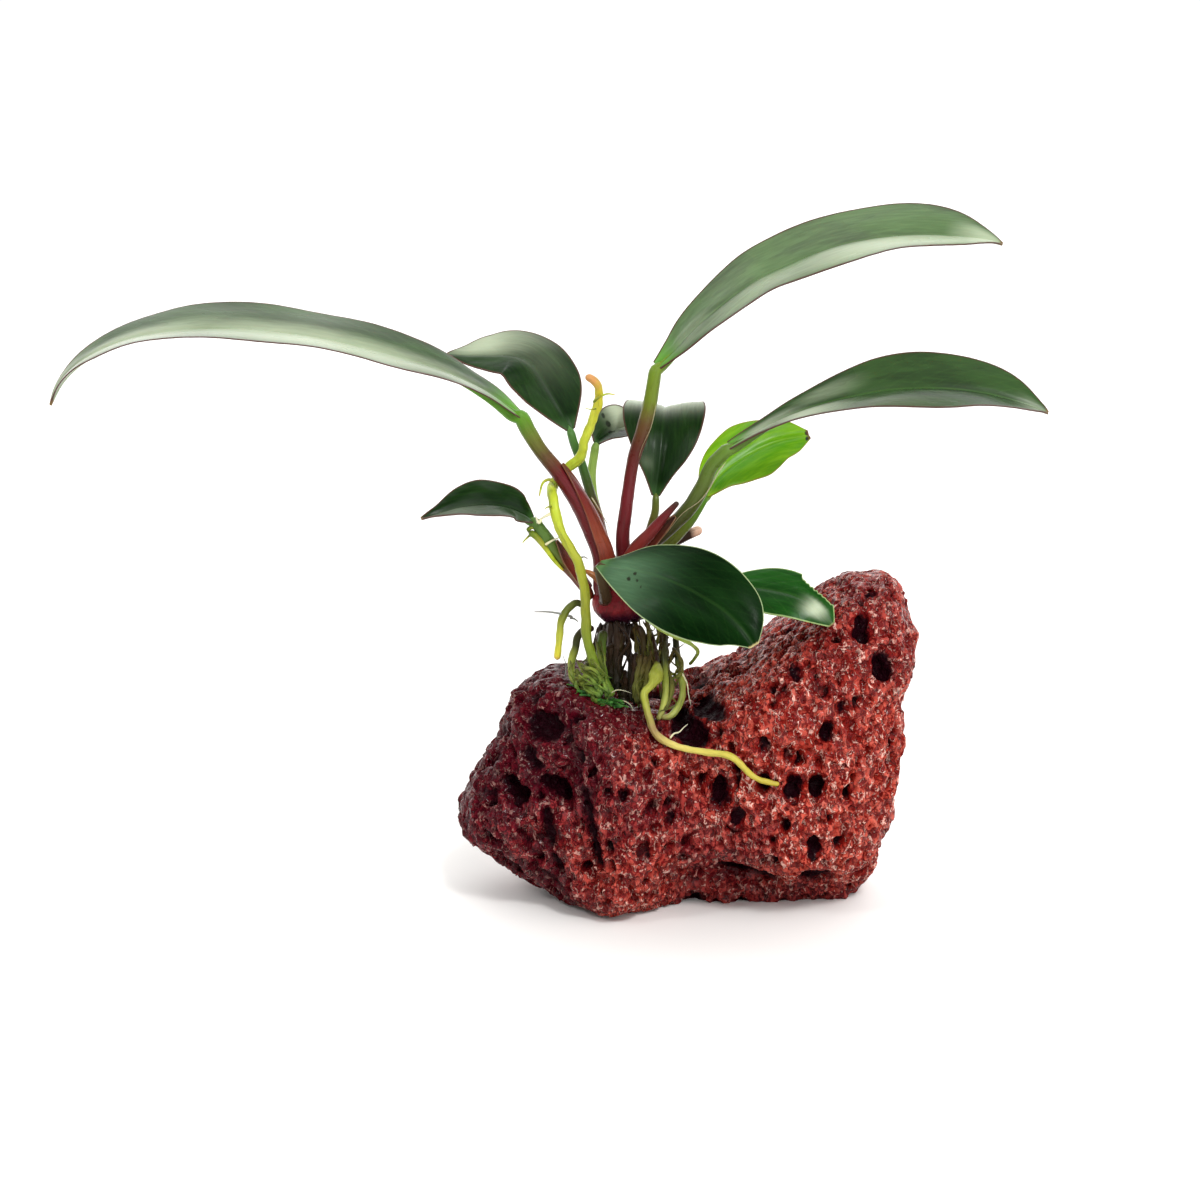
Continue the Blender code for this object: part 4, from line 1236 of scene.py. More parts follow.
LEAVES = (
    Leaf("long_left", ((-27.7, -5, 81.5), (-32.3, -6, 85.3), (-38.3, -7.5, 88.7), (-44.2, -8.5, 90.9),
         (-53.3, -9.5, 93.5), (-62.2, -10.5, 95.4), (-71.5, -11.5, 96.4), (-79.3, -12, 96.4),
         (-85.6, -12, 95.6), (-90.3, -12, 94.4), (-94.3, -12, 92.6), (-97.6, -12, 90.4),
         (-100.2, -12, 87.6), (-102, -12, 84.2)), (1.2, 4.3, 6.3, 7.5, 8.2, 8.2, 6.8, 3.6, 0.3),
         (-0.1, -0.35, 1), (-0.3, -0.2, 1), DARK_LEAF, fold=5, cup=0.03,
         painted_sheens=((0.44, -0.34, 0.36, 0.66, 0.7), (0.8, -0.3, 0.26, 0.7, 0.7),
         (0.15, -0.4, 0.12, 0.5, 0.45), (0.97, 0.0, 0.1, 2.0, 0.5), (0.55, 0.0, 0.45, 2.0, 0.09))),
    Leaf("upper_left", ((-19.7, 5.2, 77.7), (-20.9, 7, 80.0), (-22.5, 10, 82.6), (-24.3, 13, 85.2),
         (-26.4, 15, 87.7), (-29.2, 16.5, 88.9), (-33.3, 17, 88.9), (-37.1, 17, 88.7), (-40.6, 17, 88.8)),
         (0.8, 3.2, 5.1, 6.1, 6.4, 6.2, 5.2, 3.2, 0.4), (0.1, -0.9, 0.5), (0.2, -0.4, 1), SHADY_LEAF,
         fold=1, painted_sheens=((0.8, 0.6, 0.2, 0.6, 0.7), (0.55, 0.3, 0.2, 0.5, 0.1))),
    Leaf("small_back", ((-15.4, 9.4, 74.8), (-14.3, 12, 75.7), (-12.2, 15, 76.4), (-10, 18, 76.5),
         (-7.6, 21, 75.8)), (0.8, 3.0, 4.1, 3.6, 0.3), (0.1, -0.7, 0.7), (0.3, -0.5, 0.9), SHADY_LEAF,
         fold=20, blemishes=((0.36, 0.1, 0.8), (0.4, -0.35, 0.7), (0.44, 0.5, 0.9), (0.4, -0.75, 0.5)),
         painted_sheens=((0.66, -0.4, 0.2, 1.0, 0.95),)),
    Leaf("back_centre", ((-5.6, 6, 66.4), (-5.1, 7, 70.6), (-4.5, 9, 75.3), (-4.2, 12, 78.7),
         (-3.9, 16, 80.2), (-3.6, 20, 79.6), (-3.5, 24, 77.9)),
         (0.7, 2.4, 4.5, 6.0, 6.8, 6.9, 6.0, 3.8, 0.3), (0, -1, 0.4), (0, -0.1, 1), SHADY_LEAF, fold=4,
         painted_sheens=((0.7, 0.0, 0.1, 2.0, 0.62), (0.2, -0.6, 0.04, 0.3, 0.1))),
    Leaf("long_upper_right", ((-5.5, 4, 88.3), (-2.6, 4.5, 91.2), (1.6, 5, 95.6), (9.4, 5.5, 101.8),
         (15.3, 5.5, 104.8), (23.1, 5, 108), (30.8, 4, 109.6), (38.5, 2, 110.2), (46, 0, 109.6),
         (49.7, -1, 108.7)), (1.1, 3.4, 5.0, 6.0, 6.6, 7.2, 7.3, 5.4, 0.3), (-0.3, -0.6, 0.8),
         (0.3, -0.5, 1), FRESH_LEAF, fold=9, painted_sheens=((0.72, 0.52, 0.34, 0.48, 0.73),
         (0.36, 0.52, 0.24, 0.48, 0.46), (0.12, 0.2, 0.12, 0.7, 0.3), (0.3, -0.4, 0.2, 0.5, 0.2),
         (0.96, 0.2, 0.09, 0.9, 0.75), (0.5, 0.0, 0.7, 2.0, 0.17))),
    Leaf("long_lower_right", ((5.9, -5, 76.4), (10.6, -6, 79.4), (16.4, -7, 82.4), (23.2, -8, 84.7),
         (30.6, -9.5, 86.4), (37.4, -11, 87), (44.4, -12, 86.6), (50.6, -13, 85.2), (55.9, -13.5, 83.2)),
         (1.0, 1.6, 3.0, 4.9, 6.3, 7.1, 6.7, 4.6, 0.3), (-0.3, -0.5, 0.8), (0.3, -0.6, 1), DARK_LEAF,
         fold=12, painted_sheens=((0.08, 0.2, 0.14, 0.7, 0.6), (0.25, 0.6, 0.13, 0.45, 0.62),
         (0.5, 0.75, 0.2, 0.3, 0.14), (0.33, -0.45, 0.1, 0.3, 0.26), (0.97, 0.3, 0.06, 0.8, 0.3),
         (0.5, 0.0, 0.7, 2.0, 0.03))),
    Leaf("young_lime", ((2.4, 2, 67.2), (4.9, 4, 70.4), (9.1, 6, 73.2), (14.2, 8, 75.3), (20, 10, 76.1)),
         (0.9, 3.0, 4.6, 5.4, 5.8, 5.1, 3.9, 2.9, 0.8), (-0.4, -0.8, 0.6), (-0.1, -0.8, 0.6), LIME_LEAF,
         fold=3, blemishes=((0.99, -0.3, 0.5), (0.97, 0.6, 0.4)), slot="leaf_lime"),
    Leaf("front", ((-15.1, -9, 58), (-11.6, -12, 58.2), (-7.6, -14.5, 57.8), (-3.4, -17, 56.8),
         (0.8, -19, 55.1), (4.7, -21, 52.9), (7.5, -22.5, 50.4), (9.4, -23.5, 47.7)),
         (0.9, 3.5, 5.8, 7.2, 7.8, 7.6, 6.6, 4.8, 0.8), (0, -0.7, 0.8), (0.1, -1, 0.3), PALE_RIMMED,
         fold=-8, cup=-0.08, wave=0.1, blemishes=((0.22, 0.35, 0.45), (0.27, 0.3, 0.35), (0.24, 0.12, 0.4),
         (0.31, 0.4, 0.3)), painted_sheens=((0.16, 0.3, 0.21, 0.9, 0.2), (0.0, 0.0, 0.04, 2.0, 0.7))),
    Leaf("right_torn", ((4.8, -9, 54.8), (8.4, -10.6, 54.8), (12.4, -12.6, 54.7), (16.5, -14.6, 54.0),
         (19.7, -16, 52.3), (22.1, -17, 49.6)), (0.8, 3.0, 4.2, 4.9, 5.0, 4.6, 3.9, 2.8, 0.6),
         (0, -0.6, 0.8), (0.2, -0.7, 0.7), BRIGHT_LEAF, fold=-8, bite=(0.58, 0.88, 0.66, -1), wave=0.15,
         painted_sheens=((0.82, 0.1, 0.09, 0.5, 0.8),)),
    Leaf("small_left", ((-25.7, -4, 64.2), (-27.2, -5, 65.6), (-29.7, -6, 67.0), (-33.2, -8, 67.8),
         (-37, -9.5, 67.6), (-40.4, -11, 66.8), (-43.4, -12, 66)),
         (0.8, 2.8, 4.1, 4.7, 4.6, 3.9, 2.6, 1.3, 0.3), (0, -0.6, 0.8), (-0.1, -0.5, 0.9), SHADY_LEAF,
         fold=10, wave=0.12, painted_sheens=((0.75, -0.5, 0.25, 0.5, 0.12),)),
)


@dataclass(frozen=True)
class Foliage:
    """The ten blades."""

    leaves: tuple[Leaf, ...] = LEAVES
    cells: tuple[int, int] = (110, 28)
    thickness: float = 0.42
    margin_thickness: float = 0.45
    bite_roundness: float = 0.3
    bite_teeth: Span = (0.12, 160.0)
    groove_width: float = 0.5
    hollow_width: float = 2.6
    vein_height: float = 0.008
    # The swellings' height and how long they are, and how far from the midrib and at which half width they
    # and the margin's waves are full.
    bulge: float = 0.35
    bulge_length: float = 11.0
    bulge_across: float = 1.1
    bulge_start: float = 2.0
    wide_half: float = 4.0
    wave_length: float = 4.3
    name_seed: float = 3.7

    def blade(self, leaf: Leaf) -> None:
        """Models one blade.

        Args:
            leaf: The blade's shape.
        """
        piece = Workpiece.grid(f"blade_{leaf.name}", *self.cells)
        flat = piece.read()
        along = (flat[:, 0] + 1) / 2
        across = flat[:, 1]
        line, sides, normals = leaf.frames()
        steps = np.linspace(0, 1, SMOOTH_STEPS)
        length = length_along(line)[-1]
        width = leaf.width(along)
        if leaf.bite:
            start, end, left, side = leaf.bite
            inside = np.clip(1 - np.abs(2 * (along - start) / (end - start) - 1), 0, 1)
            inside = inside**self.bite_roundness
            depth, number = self.bite_teeth
            ragged = 1 + depth * np.sin(along * number) * inside
            width = np.where(across * side > 0, width * (1 - (1 - left) * inside * ragged), width)
        fold = math.radians(leaf.fold)
        out = width * across * math.cos(fold)
        up = width * (np.abs(across) * math.sin(fold) + leaf.cup * across**2)
        up = up + self.relief(leaf, along * length, across, width)
        centre = at_share(line, steps, along)
        to_side = at_share(sides, steps, along)
        to_face = at_share(normals, steps, along)
        piece.shape(centre + to_side * out[:, None] + to_face * up[:, None])
        piece.hold("along", along)
        piece.hold("edge", np.minimum((1 - np.abs(across)) * width, (1 - along) * length))
        piece.hold("grain", np.column_stack([along * length, across * width, np.zeros(len(along))]))
        piece.hold("blemish", self.blemishes(leaf, along, across, width, length))
        piece.hold("bloom", self.painted_sheens(leaf, along, across))
        self.thicken(piece, across)
        upper = leaf.finish.material(Face.UPPER)
        under = leaf.finish.material(Face.UNDER)
        piece.dress([upper, under], leaf.slot, f"leaf_{leaf.name}")

    def relief(self, leaf: Leaf, reach: Array, across: Array, width: Array) -> Array:
        """How far the skin stands up: the midrib's groove, side veins, swellings and a wavy margin.

        Args:
            leaf: The blade.
            reach: How far along the blade each vertex is, in millimetres.
            across: From -1 to 1 across the blade.
            width: Half the blade's width there.

        Returns:
            The height at each vertex, in millimetres.
        """
        side = np.abs(across) * width
        groove = -GROOVE_DEPTH * np.exp(-((side / self.groove_width) ** 2))
        hollow = HOLLOW_DEPTH * np.exp(-((side / self.hollow_width) ** 2)) * np.minimum(width / FULL_HALF, 1)
        veins = self.vein_height * np.cos((reach - side * VEIN_SLANT) / VEIN_SPACING * math.pi)
        seed = len(leaf.name) * self.name_seed
        rolling = [reach / self.bulge_length + seed, across * self.bulge_across, np.full(len(reach), seed)]
        swell = self.bulge * noise_at(np.column_stack(rolling), 1.0)
        swell = swell * np.minimum(side / self.bulge_start, 1.0)
        wide = np.minimum(width / self.wide_half, 1)
        wave = leaf.wave * np.abs(across) ** 3 * np.sin(reach / self.wave_length + seed + np.sign(across))
        return groove - hollow + veins * np.minimum(side, 1.0) + swell * wide + wave * wide

    def blemishes(self, leaf: Leaf, along: Array, across: Array, width: Array,
                  length: float) -> Array:
        """Where the skin is scratched or dead.

        Args:
            leaf: The blade.
            along: From 0 to 1 along it, at each vertex.
            across: From -1 to 1 across it.
            width: Half its width there.
            length: Its length.

        Returns:
            How dead it is, from 0 to 1.
        """
        mark = np.zeros(len(along))
        for share, side, radius in leaf.blemishes:
            away = np.hypot((along - share) * length, (across - side) * width)
            mark = np.maximum(mark, np.exp(-((away / radius) ** 2)))
        return mark

    def painted_sheens(self, leaf: Leaf, along: Array, across: Array) -> Array:
        """Where the painted sheen shows: pale patches that stand for reflected light.

        Args:
            leaf: The blade.
            along: From 0 to 1 along it, at each vertex.
            across: From -1 to 1 across it.

        Returns:
            How strongly it shows, from 0 to 1.
        """
        bloom = np.zeros(len(along))
        for share, side, reach, breadth, strength in leaf.painted_sheens:
            away = ((along - share) / reach) ** 2 + ((across - side) / breadth) ** 4
            bloom = np.maximum(bloom, strength * np.exp(-away))
        return bloom

    def thicken(self, piece: Workpiece, across: Array) -> None:
        """Gives a blade its thickness, which falls towards the margin.

        Args:
            piece: The blade as a sheet.
            across: From -1 to 1 across it, at each vertex.
        """
        group = piece.object.vertex_groups.new(name="thick")
        share = 1 - (1 - self.margin_thickness) * np.abs(across) ** 2
        for index, weight in enumerate(share):
            group.add([index], float(weight), "REPLACE")
        piece.turn_faces()
        piece.apply("SOLIDIFY", thickness=self.thickness * MM, offset=0.0, vertex_group="thick",
                    material_offset=1, material_offset_rim=0)
        piece.smooth(CREASE)

    def build(self) -> None:
        """Models and dresses every blade."""
        for leaf in self.leaves:
            self.blade(leaf)


# The stalks

DEEP_RED = (0.115, 0.01, 0.013)
RED_BROWN = (0.13, 0.028, 0.012)
WARM_BROWN = (0.09, 0.052, 0.016)
DARK_BROWN = (0.032, 0.014, 0.008)
FRESH_GREEN = (0.08, 0.22, 0.012)
SHADE_GREEN = (0.035, 0.1, 0.013)
LIGHT_GREEN = (0.24, 0.36, 0.07)
OLIVE = (0.11, 0.135, 0.018)
DARK_OLIVE = (0.045, 0.052, 0.013)
LIME = (0.36, 0.44, 0.018)
YELLOW = (0.56, 0.5, 0.04)
BURNT_TIP = (0.56, 0.28, 0.09)
CREAM = (0.76, 0.72, 0.42)
PALE_CUT = (0.7, 0.44, 0.32)
GREY_HAIR = (0.22, 0.225, 0.2)
MOSS_GREEN = (0.02, 0.095, 0.014)


class Press(Enum):
    """Which way a root presses on the stone."""

    FREE = None
    DOWN = (0, 0, -1)
    BACK = (0, 1, 0)


@dataclass(frozen=True)
class Stem:
    """A stalk or a root: its line and radii from start to end, its skin, and which way it presses.

    A lobe is a swelling: its share of the way, how far it reaches there, and how much thicker it is.
    """

    name: str
    line: tuple
    radii: tuple
    finish: StemFinish
    points: int = 8
    press: Press = Press.FREE
    slot: str = "stalk_green"
    lobe: tuple = ()


@dataclass(frozen=True)
class Flap:
    """The open edge of a sheath: a strip that hugs a stalk from one share of it to another."""

    stalk: str
    start: float
    end: float
    facing: Point
    half_angle: float
    finish: StemFinish


RHIZOME_LINE = (
    (-16.2, -0.9, 49.5), (-13.9, -0.8, 49.7), (-10.2, 0.4, 49.9), (-6.2, 1.6, 50.2), (-2.6, 2.4, 50.7),
)
RHIZOME_RADII = (2.9, 3.6, 3.7, 3.1, 2.2)
STEM_POINTS = 60

RED_SHEATH = StemFinish("sheath_red", ((0.0, DEEP_RED), (0.45, (0.15, 0.022, 0.012)), (1.0, DARK_BROWN)),
    streak_strength=0.5)
WARM_SHEATH = StemFinish("sheath_warm", ((0.0, DEEP_RED), (0.35, (0.19, 0.034, 0.012)), (0.8, DEEP_RED),
    (1.0, WARM_BROWN)), streak_strength=0.5, rim=(0.17, 0.05, 0.02))
SCALE = StemFinish("scale_brown", ((0.0, (0.4, 0.16, 0.05)), (1.0, (0.2, 0.06, 0.025))))

STALKS = (
    Stem("long_left", ((-14.2, -2.2, 53.6), (-14.4, -1.9, 57.7), (-15.8, -1.5, 61.5), (-17.6, -1.6, 65.4),
         (-19.7, -2, 68.9), (-21.8, -2.6, 72), (-24.4, -3.5, 75.4), (-26.3, -4.3, 78.6),
         (-27.5, -4.9, 81.1)), (1.8, 1.7, 1.6, 1.3, 1.2, 1.3),
         StemFinish("stalk_long_left", ((0.0, DEEP_RED), (0.48, DEEP_RED), (0.56, WARM_BROWN),
         (0.64, OLIVE), (0.73, FRESH_GREEN), (1.0, FRESH_GREEN))), slot="stalk_red"),
    Stem("upper_left", ((-12.7, 2.3, 53.2), (-14.2, 4, 58), (-15.3, 4.5, 63.4), (-16.5, 5, 67.2),
         (-17.8, 5, 71.7), (-19.1, 5, 75.2), (-19.6, 5, 77)), (0.8, 0.9, 0.8, 0.7),
         StemFinish("stalk_upper_left", ((0.0, RED_BROWN), (0.4, RED_BROWN), (0.52, DARK_OLIVE),
         (0.66, SHADE_GREEN), (1.0, (0.1, 0.24, 0.06))))),
    Stem("small_back", ((-10.6, 3.5, 53.0), (-13.4, 6.5, 56.8), (-14.9, 7.5, 62), (-16, 8, 66.2),
         (-16.2, 9, 69.9), (-15.6, 9.2, 74.2)), (0.7, 0.8, 0.7),
         StemFinish("stalk_small_back", ((0.0, RED_BROWN), (0.48, WARM_BROWN), (0.6, LIGHT_GREEN),
         (0.85, LIGHT_GREEN), (1.0, SHADE_GREEN)))),
    Stem("back_centre", ((-7.7, 3.8, 53.1), (-7.4, 5.3, 57), (-6.5, 5.7, 60.7), (-5.7, 6, 63.7),
         (-5.6, 6, 65.9)), (0.8, 0.8, 0.6), StemFinish("stalk_back_centre", ((0.0, RED_BROWN),
         (0.5, WARM_BROWN), (0.72, OLIVE), (1.0, SHADE_GREEN)))),
    Stem("long_upper_right", ((-10.6, 0.3, 54.0), (-11.0, 0.3, 57.5), (-11.1, 0, 61.2), (-10.6, 0, 65.2),
         (-10.1, 0.8, 68.9), (-9.3, 1.6, 73.4), (-7.8, 2.2, 78), (-6.7, 3, 82.1), (-5.8, 3.9, 87.5)),
         (1.3, 1.1, 1.0, 1.2, 1.1), StemFinish("stalk_long_upper_right", ((0.0, DEEP_RED), (0.36, DEEP_RED),
         (0.5, (0.075, 0.015, 0.01)), (0.6, WARM_BROWN), (0.67, (0.12, 0.165, 0.015)),
         (0.85, (0.135, 0.23, 0.02)), (1.0, (0.085, 0.19, 0.02)))), slot="stalk_red"),
    Stem("long_lower_right", ((-8.0, -1.8, 53.5), (-8.1, -2.1, 57.8), (-5.9, -2.4, 60.4), (-3.6, -3, 62.6),
         (-0.4, -3.6, 66), (1.8, -4.2, 69.8), (3.2, -4.6, 73.1), (5.5, -5, 75.7)), (1.0, 1.2, 1.25, 1.1),
         StemFinish("stalk_long_lower_right", ((0.0, DEEP_RED), (0.2, DARK_BROWN),
         (0.4, (0.04, 0.044, 0.012)), (0.6, (0.075, 0.11, 0.018)), (0.78, (0.095, 0.175, 0.022)),
         (1.0, (0.05, 0.12, 0.018))))),
    Stem("young_lime", ((-5.0, 2.0, 53.7), (-4.6, 2, 57.5), (-2.3, 1.8, 60.4), (0.0, 1.8, 63.1),
         (2.1, 2, 66.6)), (0.9, 1.0, 0.9), StemFinish("stalk_young_lime", ((0.0, DARK_OLIVE), (0.5, OLIVE),
         (0.8, FRESH_GREEN), (1.0, LIME)))),
    Stem("front", ((-13.9, -5.2, 51.4), (-14.4, -7.0, 54.3), (-15.0, -8.7, 57.3)), (1.0, 0.9, 0.9),
         StemFinish("stalk_front", ((0.0, DARK_BROWN), (0.5, (0.07, 0.045, 0.02)), (1.0, DARK_OLIVE)))),
    Stem("right_torn", ((-5.4, -2.0, 52.0), (-0.6, -6.2, 53.6), (4.3, -8.7, 54.7)), (0.9, 0.8, 0.7),
         StemFinish("stalk_right_torn", ((0.0, WARM_BROWN), (0.5, OLIVE), (1.0, SHADE_GREEN)))),
    Stem("small_left", ((-17.3, -0.9, 52.3), (-19.3, -1.9, 55.2), (-21.6, -2.6, 57.9), (-23.5, -3.4, 60.9),
         (-25.3, -3.9, 63.7)), (1.0, 1.2, 1.2, 0.9), StemFinish("stalk_small_left", ((0.0, RED_BROWN),
         (0.34, RED_BROWN), (0.44, OLIVE), (0.62, (0.09, 0.16, 0.03)), (1.0, SHADE_GREEN)),
         streak=(0.2, 0.3, 0.11))),
    Stem("sheath", ((-10.8, -3.5, 53.8), (-10.4, -4.2, 56.8), (-9, -4.9, 59.6), (-6.7, -5.2, 62.2),
         (-4.5, -5.5, 64.9), (-2.2, -5.6, 67.4)), (1.2, 1.2, 0.9, 0.4),
         StemFinish("stalk_sheath", ((0.0, DEEP_RED), (0.45, (0.16, 0.02, 0.014)), (0.85, DEEP_RED),
         (1.0, DARK_BROWN)), streak_strength=0.7), slot="stalk_red"),
    Stem("stub", ((-3.8, 4.2, 53.0), (-3.7, 5.0, 57.6), (-0.9, 5.3, 59.6), (2.1, 5.6, 60.9)),
         (1.1, 0.9, 0.8), StemFinish("stalk_stub", ((0.0, DARK_BROWN), (0.84, DARK_BROWN), (0.92, PALE_CUT),
         (1.0, PALE_CUT)))),
)

FLAPS = (
    Flap("long_left", 0.06, 0.5, (0.95, -0.3, 0.2), 88.0, WARM_SHEATH),
    Flap("small_left", 0.1, 0.6, (0.7, -0.6, 0.5), 75.0, RED_SHEATH),
    Flap("long_lower_right", 0.05, 0.42, (-0.6, -0.8, 0.3), 80.0, RED_SHEATH),
)


@dataclass(frozen=True)
class Stalks:
    """The stalks, from in the rhizome to under their blades, and the sheaths around their bases."""

    stems: tuple[Stem, ...] = STALKS
    flaps: tuple[Flap, ...] = FLAPS
    rooted: float = 0.75
    course_points: int = 90
    # The keel under a blade: its share of the blade's length, points, radii and depth in its own radii.
    keel: Span = (0.01, 0.16)
    keel_points: int = 12
    keel_start: float = 0.8
    keel_end: float = 0.28
    keel_sunk: Span = (0.55, 1.0)
    sides: int = 20
    spacing: float = 0.45
    knobs: float = 0.03
    flap_cells: tuple[int, int] = (60, 14)
    flap_taper: Span = (0.85, 2.2)
    flap_fit: float = 1.04
    flap_gap: float = 0.1
    flap_lift: float = 0.3
    flap_curl: int = 5
    flap_length: float = 6.0
    flap_width: float = 1.6
    flap_grain: Span = (2.0, 40.0)
    flap_thickness: float = 0.16

    def course(self, stem: Stem) -> tuple[Array, Array]:
        """Where a stalk runs.

        Args:
            stem: The stalk.

        Returns:
            Its points, from in the rhizome to the end of its keel under the blade, and its radii.
        """
        line = smooth_through(stem.line, STEM_POINTS)
        radii = spread(stem.radii, np.linspace(0, 1, len(line)))
        rhizome = smooth_through(RHIZOME_LINE, STEM_POINTS)
        nearest = rhizome[np.argmin(np.linalg.norm(rhizome - line[0], axis=1))]
        start = line[0] + (nearest - line[0]) * self.rooted
        line = np.vstack([start, line])
        radii = np.concatenate([[radii[0]], radii])
        blade = next((leaf for leaf in LEAVES if leaf.name == stem.name), None)
        if blade:
            midrib, _, normals = blade.frames()
            shares = np.linspace(*self.keel, self.keel_points)
            steps = np.linspace(0, 1, len(midrib))
            keel = np.linspace(radii[-1] * self.keel_start, self.keel_end, len(shares))
            sunk = GROOVE_DEPTH + HOLLOW_DEPTH * np.minimum(blade.width(shares) / FULL_HALF, 1)
            depth = (keel * np.linspace(*self.keel_sunk, len(shares)) + sunk)[:, None]
            under = at_share(midrib, steps, shares) - at_share(normals, steps, shares) * depth
            line = np.vstack([line, under])
            radii = np.concatenate([radii, keel])
        reach = length_along(line)
        even = np.linspace(0, 1, self.course_points)
        return at_share(line, reach / reach[-1], even), np.interp(even, reach / reach[-1], radii)

    def flap(self, flap: Flap) -> None:
        """Models one sheath.

        Args:
            flap: Its place on a stalk.
        """
        stem = next(s for s in self.stems if s.name == flap.stalk)
        line, radii = self.course(stem)
        piece = Workpiece.grid(f"sheath_of_{flap.stalk}", *self.flap_cells)
        flat = piece.read()
        share = (flat[:, 0] + 1) / 2
        across = flat[:, 1]
        shares = np.linspace(0, 1, len(line))
        along = flap.start + share * (flap.end - flap.start)
        tangent = unit(at_share(np.gradient(line, axis=0), shares, along))
        facing = np.array(flap.facing, float)
        outward = unit(facing - np.sum(tangent * facing, axis=1)[:, None] * tangent)
        beside = np.cross(tangent, outward)
        narrowing, lateness = self.flap_taper
        taper = 1 - narrowing * share**lateness
        angle = across * math.radians(flap.half_angle) * taper
        lift = self.flap_lift * np.abs(across) ** self.flap_curl
        radius = np.interp(along, shares, radii) * self.flap_fit + self.flap_gap + lift
        around = outward * np.cos(angle)[:, None] + beside * np.sin(angle)[:, None]
        piece.shape(at_share(line, shares, along) + around * radius[:, None])
        piece.hold("along", share)
        margin = np.minimum((1 - np.abs(across)) * taper, (1 - share) * self.flap_length)
        piece.hold("edge", margin * self.flap_width)
        wide, long = self.flap_grain
        piece.hold("grain", np.column_stack([across * wide, angle, along * long]))
        piece.apply("SOLIDIFY", thickness=self.flap_thickness * MM, offset=0.0)
        piece.weld()
        piece.smooth(CREASE)
        piece.dress([flap.finish.material()], "stalk_red")

    def build(self) -> None:
        """Models and dresses every stalk and sheath."""
        for stem in self.stems:
            line, radii = self.course(stem)
            name = f"petiole_{stem.name}"
            piece = tube(name, line, radii, self.sides, self.spacing, self.knobs, seed=len(stem.name))
            piece.dress([stem.finish.material()], stem.slot, f"stalk_{stem.name}")
        for flap in self.flaps:
            self.flap(flap)


# The rhizome


@dataclass(frozen=True)
class RhizomeFinish:
    """The creeping stem's skin: crimson at its growing end, brown behind, nearly purple below."""

    crimson: Colour = (0.2, 0.016, 0.022)
    bright: Colour = (0.36, 0.034, 0.034)
    brown: Colour = (0.06, 0.022, 0.014)
    below: Colour = (0.03, 0.004, 0.012)
    mottle_waves: float = 420.0
    streak_scale: Point = (1.6, 1.6, 3.0)
    # Where brown takes over along it, and where its underside starts, in metres.
    brown_along: Span = (0.42, 0.7)
    below_height: Span = (0.0492, 0.0472)
    wander: float = 0.002
    relief_height: float = 0.0003

    def material(self) -> bpy.types.Material:
        """The skin's material.

        Returns:
            The material.
        """
        paint = Paint("rhizome_skin")
        place = paint.place()
        mottle = paint.noise(place, self.mottle_waves, 4.0, 0.3)
        streaks = paint.noise(paint.grain(self.streak_scale), 1.0, 3.0)
        height = paint.axis(place, "Z") + (mottle - 0.5) * self.wander
        colour = paint.mix(self.crimson, self.brown, paint.attribute("along").step(*self.brown_along))
        colour = paint.mix(colour, self.bright, mottle.step(0.5, 0.68) * 0.5)
        colour = paint.mix(colour, self.brown, streaks.step(0.52, 0.75) * 0.6)
        colour = paint.mix(colour, self.below, height.step(*self.below_height))
        return paint.finish(
            base_color=colour,
            roughness=0.26 + streaks * 0.2,
            specular_ior_level=0.11,
            subsurface_weight=0.08,
            subsurface_scale=0.001,
            normal=paint.bump(streaks + mottle * 0.5, self.relief_height, 0.7),
        )


@dataclass(frozen=True)
class Rhizome:
    """The short creeping stem that leaves and roots grow from."""

    rings: int = 8
    ring_height: float = 0.035
    scale_line: tuple = ((-17.6, -5.0, 56.1), (-16.5, -5.2, 55.6), (-15.3, -5.2, 54.7), (-14.7, -4.9, 53.7),
                         (-14.4, -4.0, 52.6))
    scale_radii: tuple = (0.15, 0.55, 0.6, 0.5, 0.3)
    scale_points: int = 30
    # Sides, length of the faces, knobs and seed.
    stem_mesh: tuple = (48, 0.28, 0.06, 5)
    scale_mesh: tuple = (12, 0.3, 0.15, 3)

    def build(self) -> None:
        """Models and dresses the rhizome and the torn scale on it."""
        line = smooth_through(RHIZOME_LINE, STEM_POINTS)
        shares = np.linspace(0, 1, STEM_POINTS)
        rings = 1 + self.ring_height * np.cos(shares * self.rings * 2 * math.pi)
        radii = spread(RHIZOME_RADII, shares) * rings
        piece = tube("creeping_stem", line, radii, *self.stem_mesh)
        piece.dress([RhizomeFinish().material()], "rhizome", "rhizome")
        line = smooth_through(self.scale_line, self.scale_points)
        scale = tube("torn_scale", line, np.array(self.scale_radii), *self.scale_mesh)
        scale.dress([SCALE.material()], "rhizome")


# The roots

CLIMBING_SKIN = StemFinish("root_climbing_skin", ((0.0, (0.09, 0.14, 0.014)), (0.12, (0.15, 0.21, 0.014)),
    (0.24, (0.24, 0.26, 0.024)), (0.4, (0.34, 0.36, 0.03)), (0.52, (0.44, 0.52, 0.035)),
    (0.7, (0.34, 0.42, 0.022)), (0.84, (0.54, 0.58, 0.05)), (0.93, YELLOW), (0.975, BURNT_TIP),
    (1.0, (0.5, 0.24, 0.08))), streak=(0.13, 0.15, 0.015), streak_strength=0.55, glow=0.08, lumps=0.4)
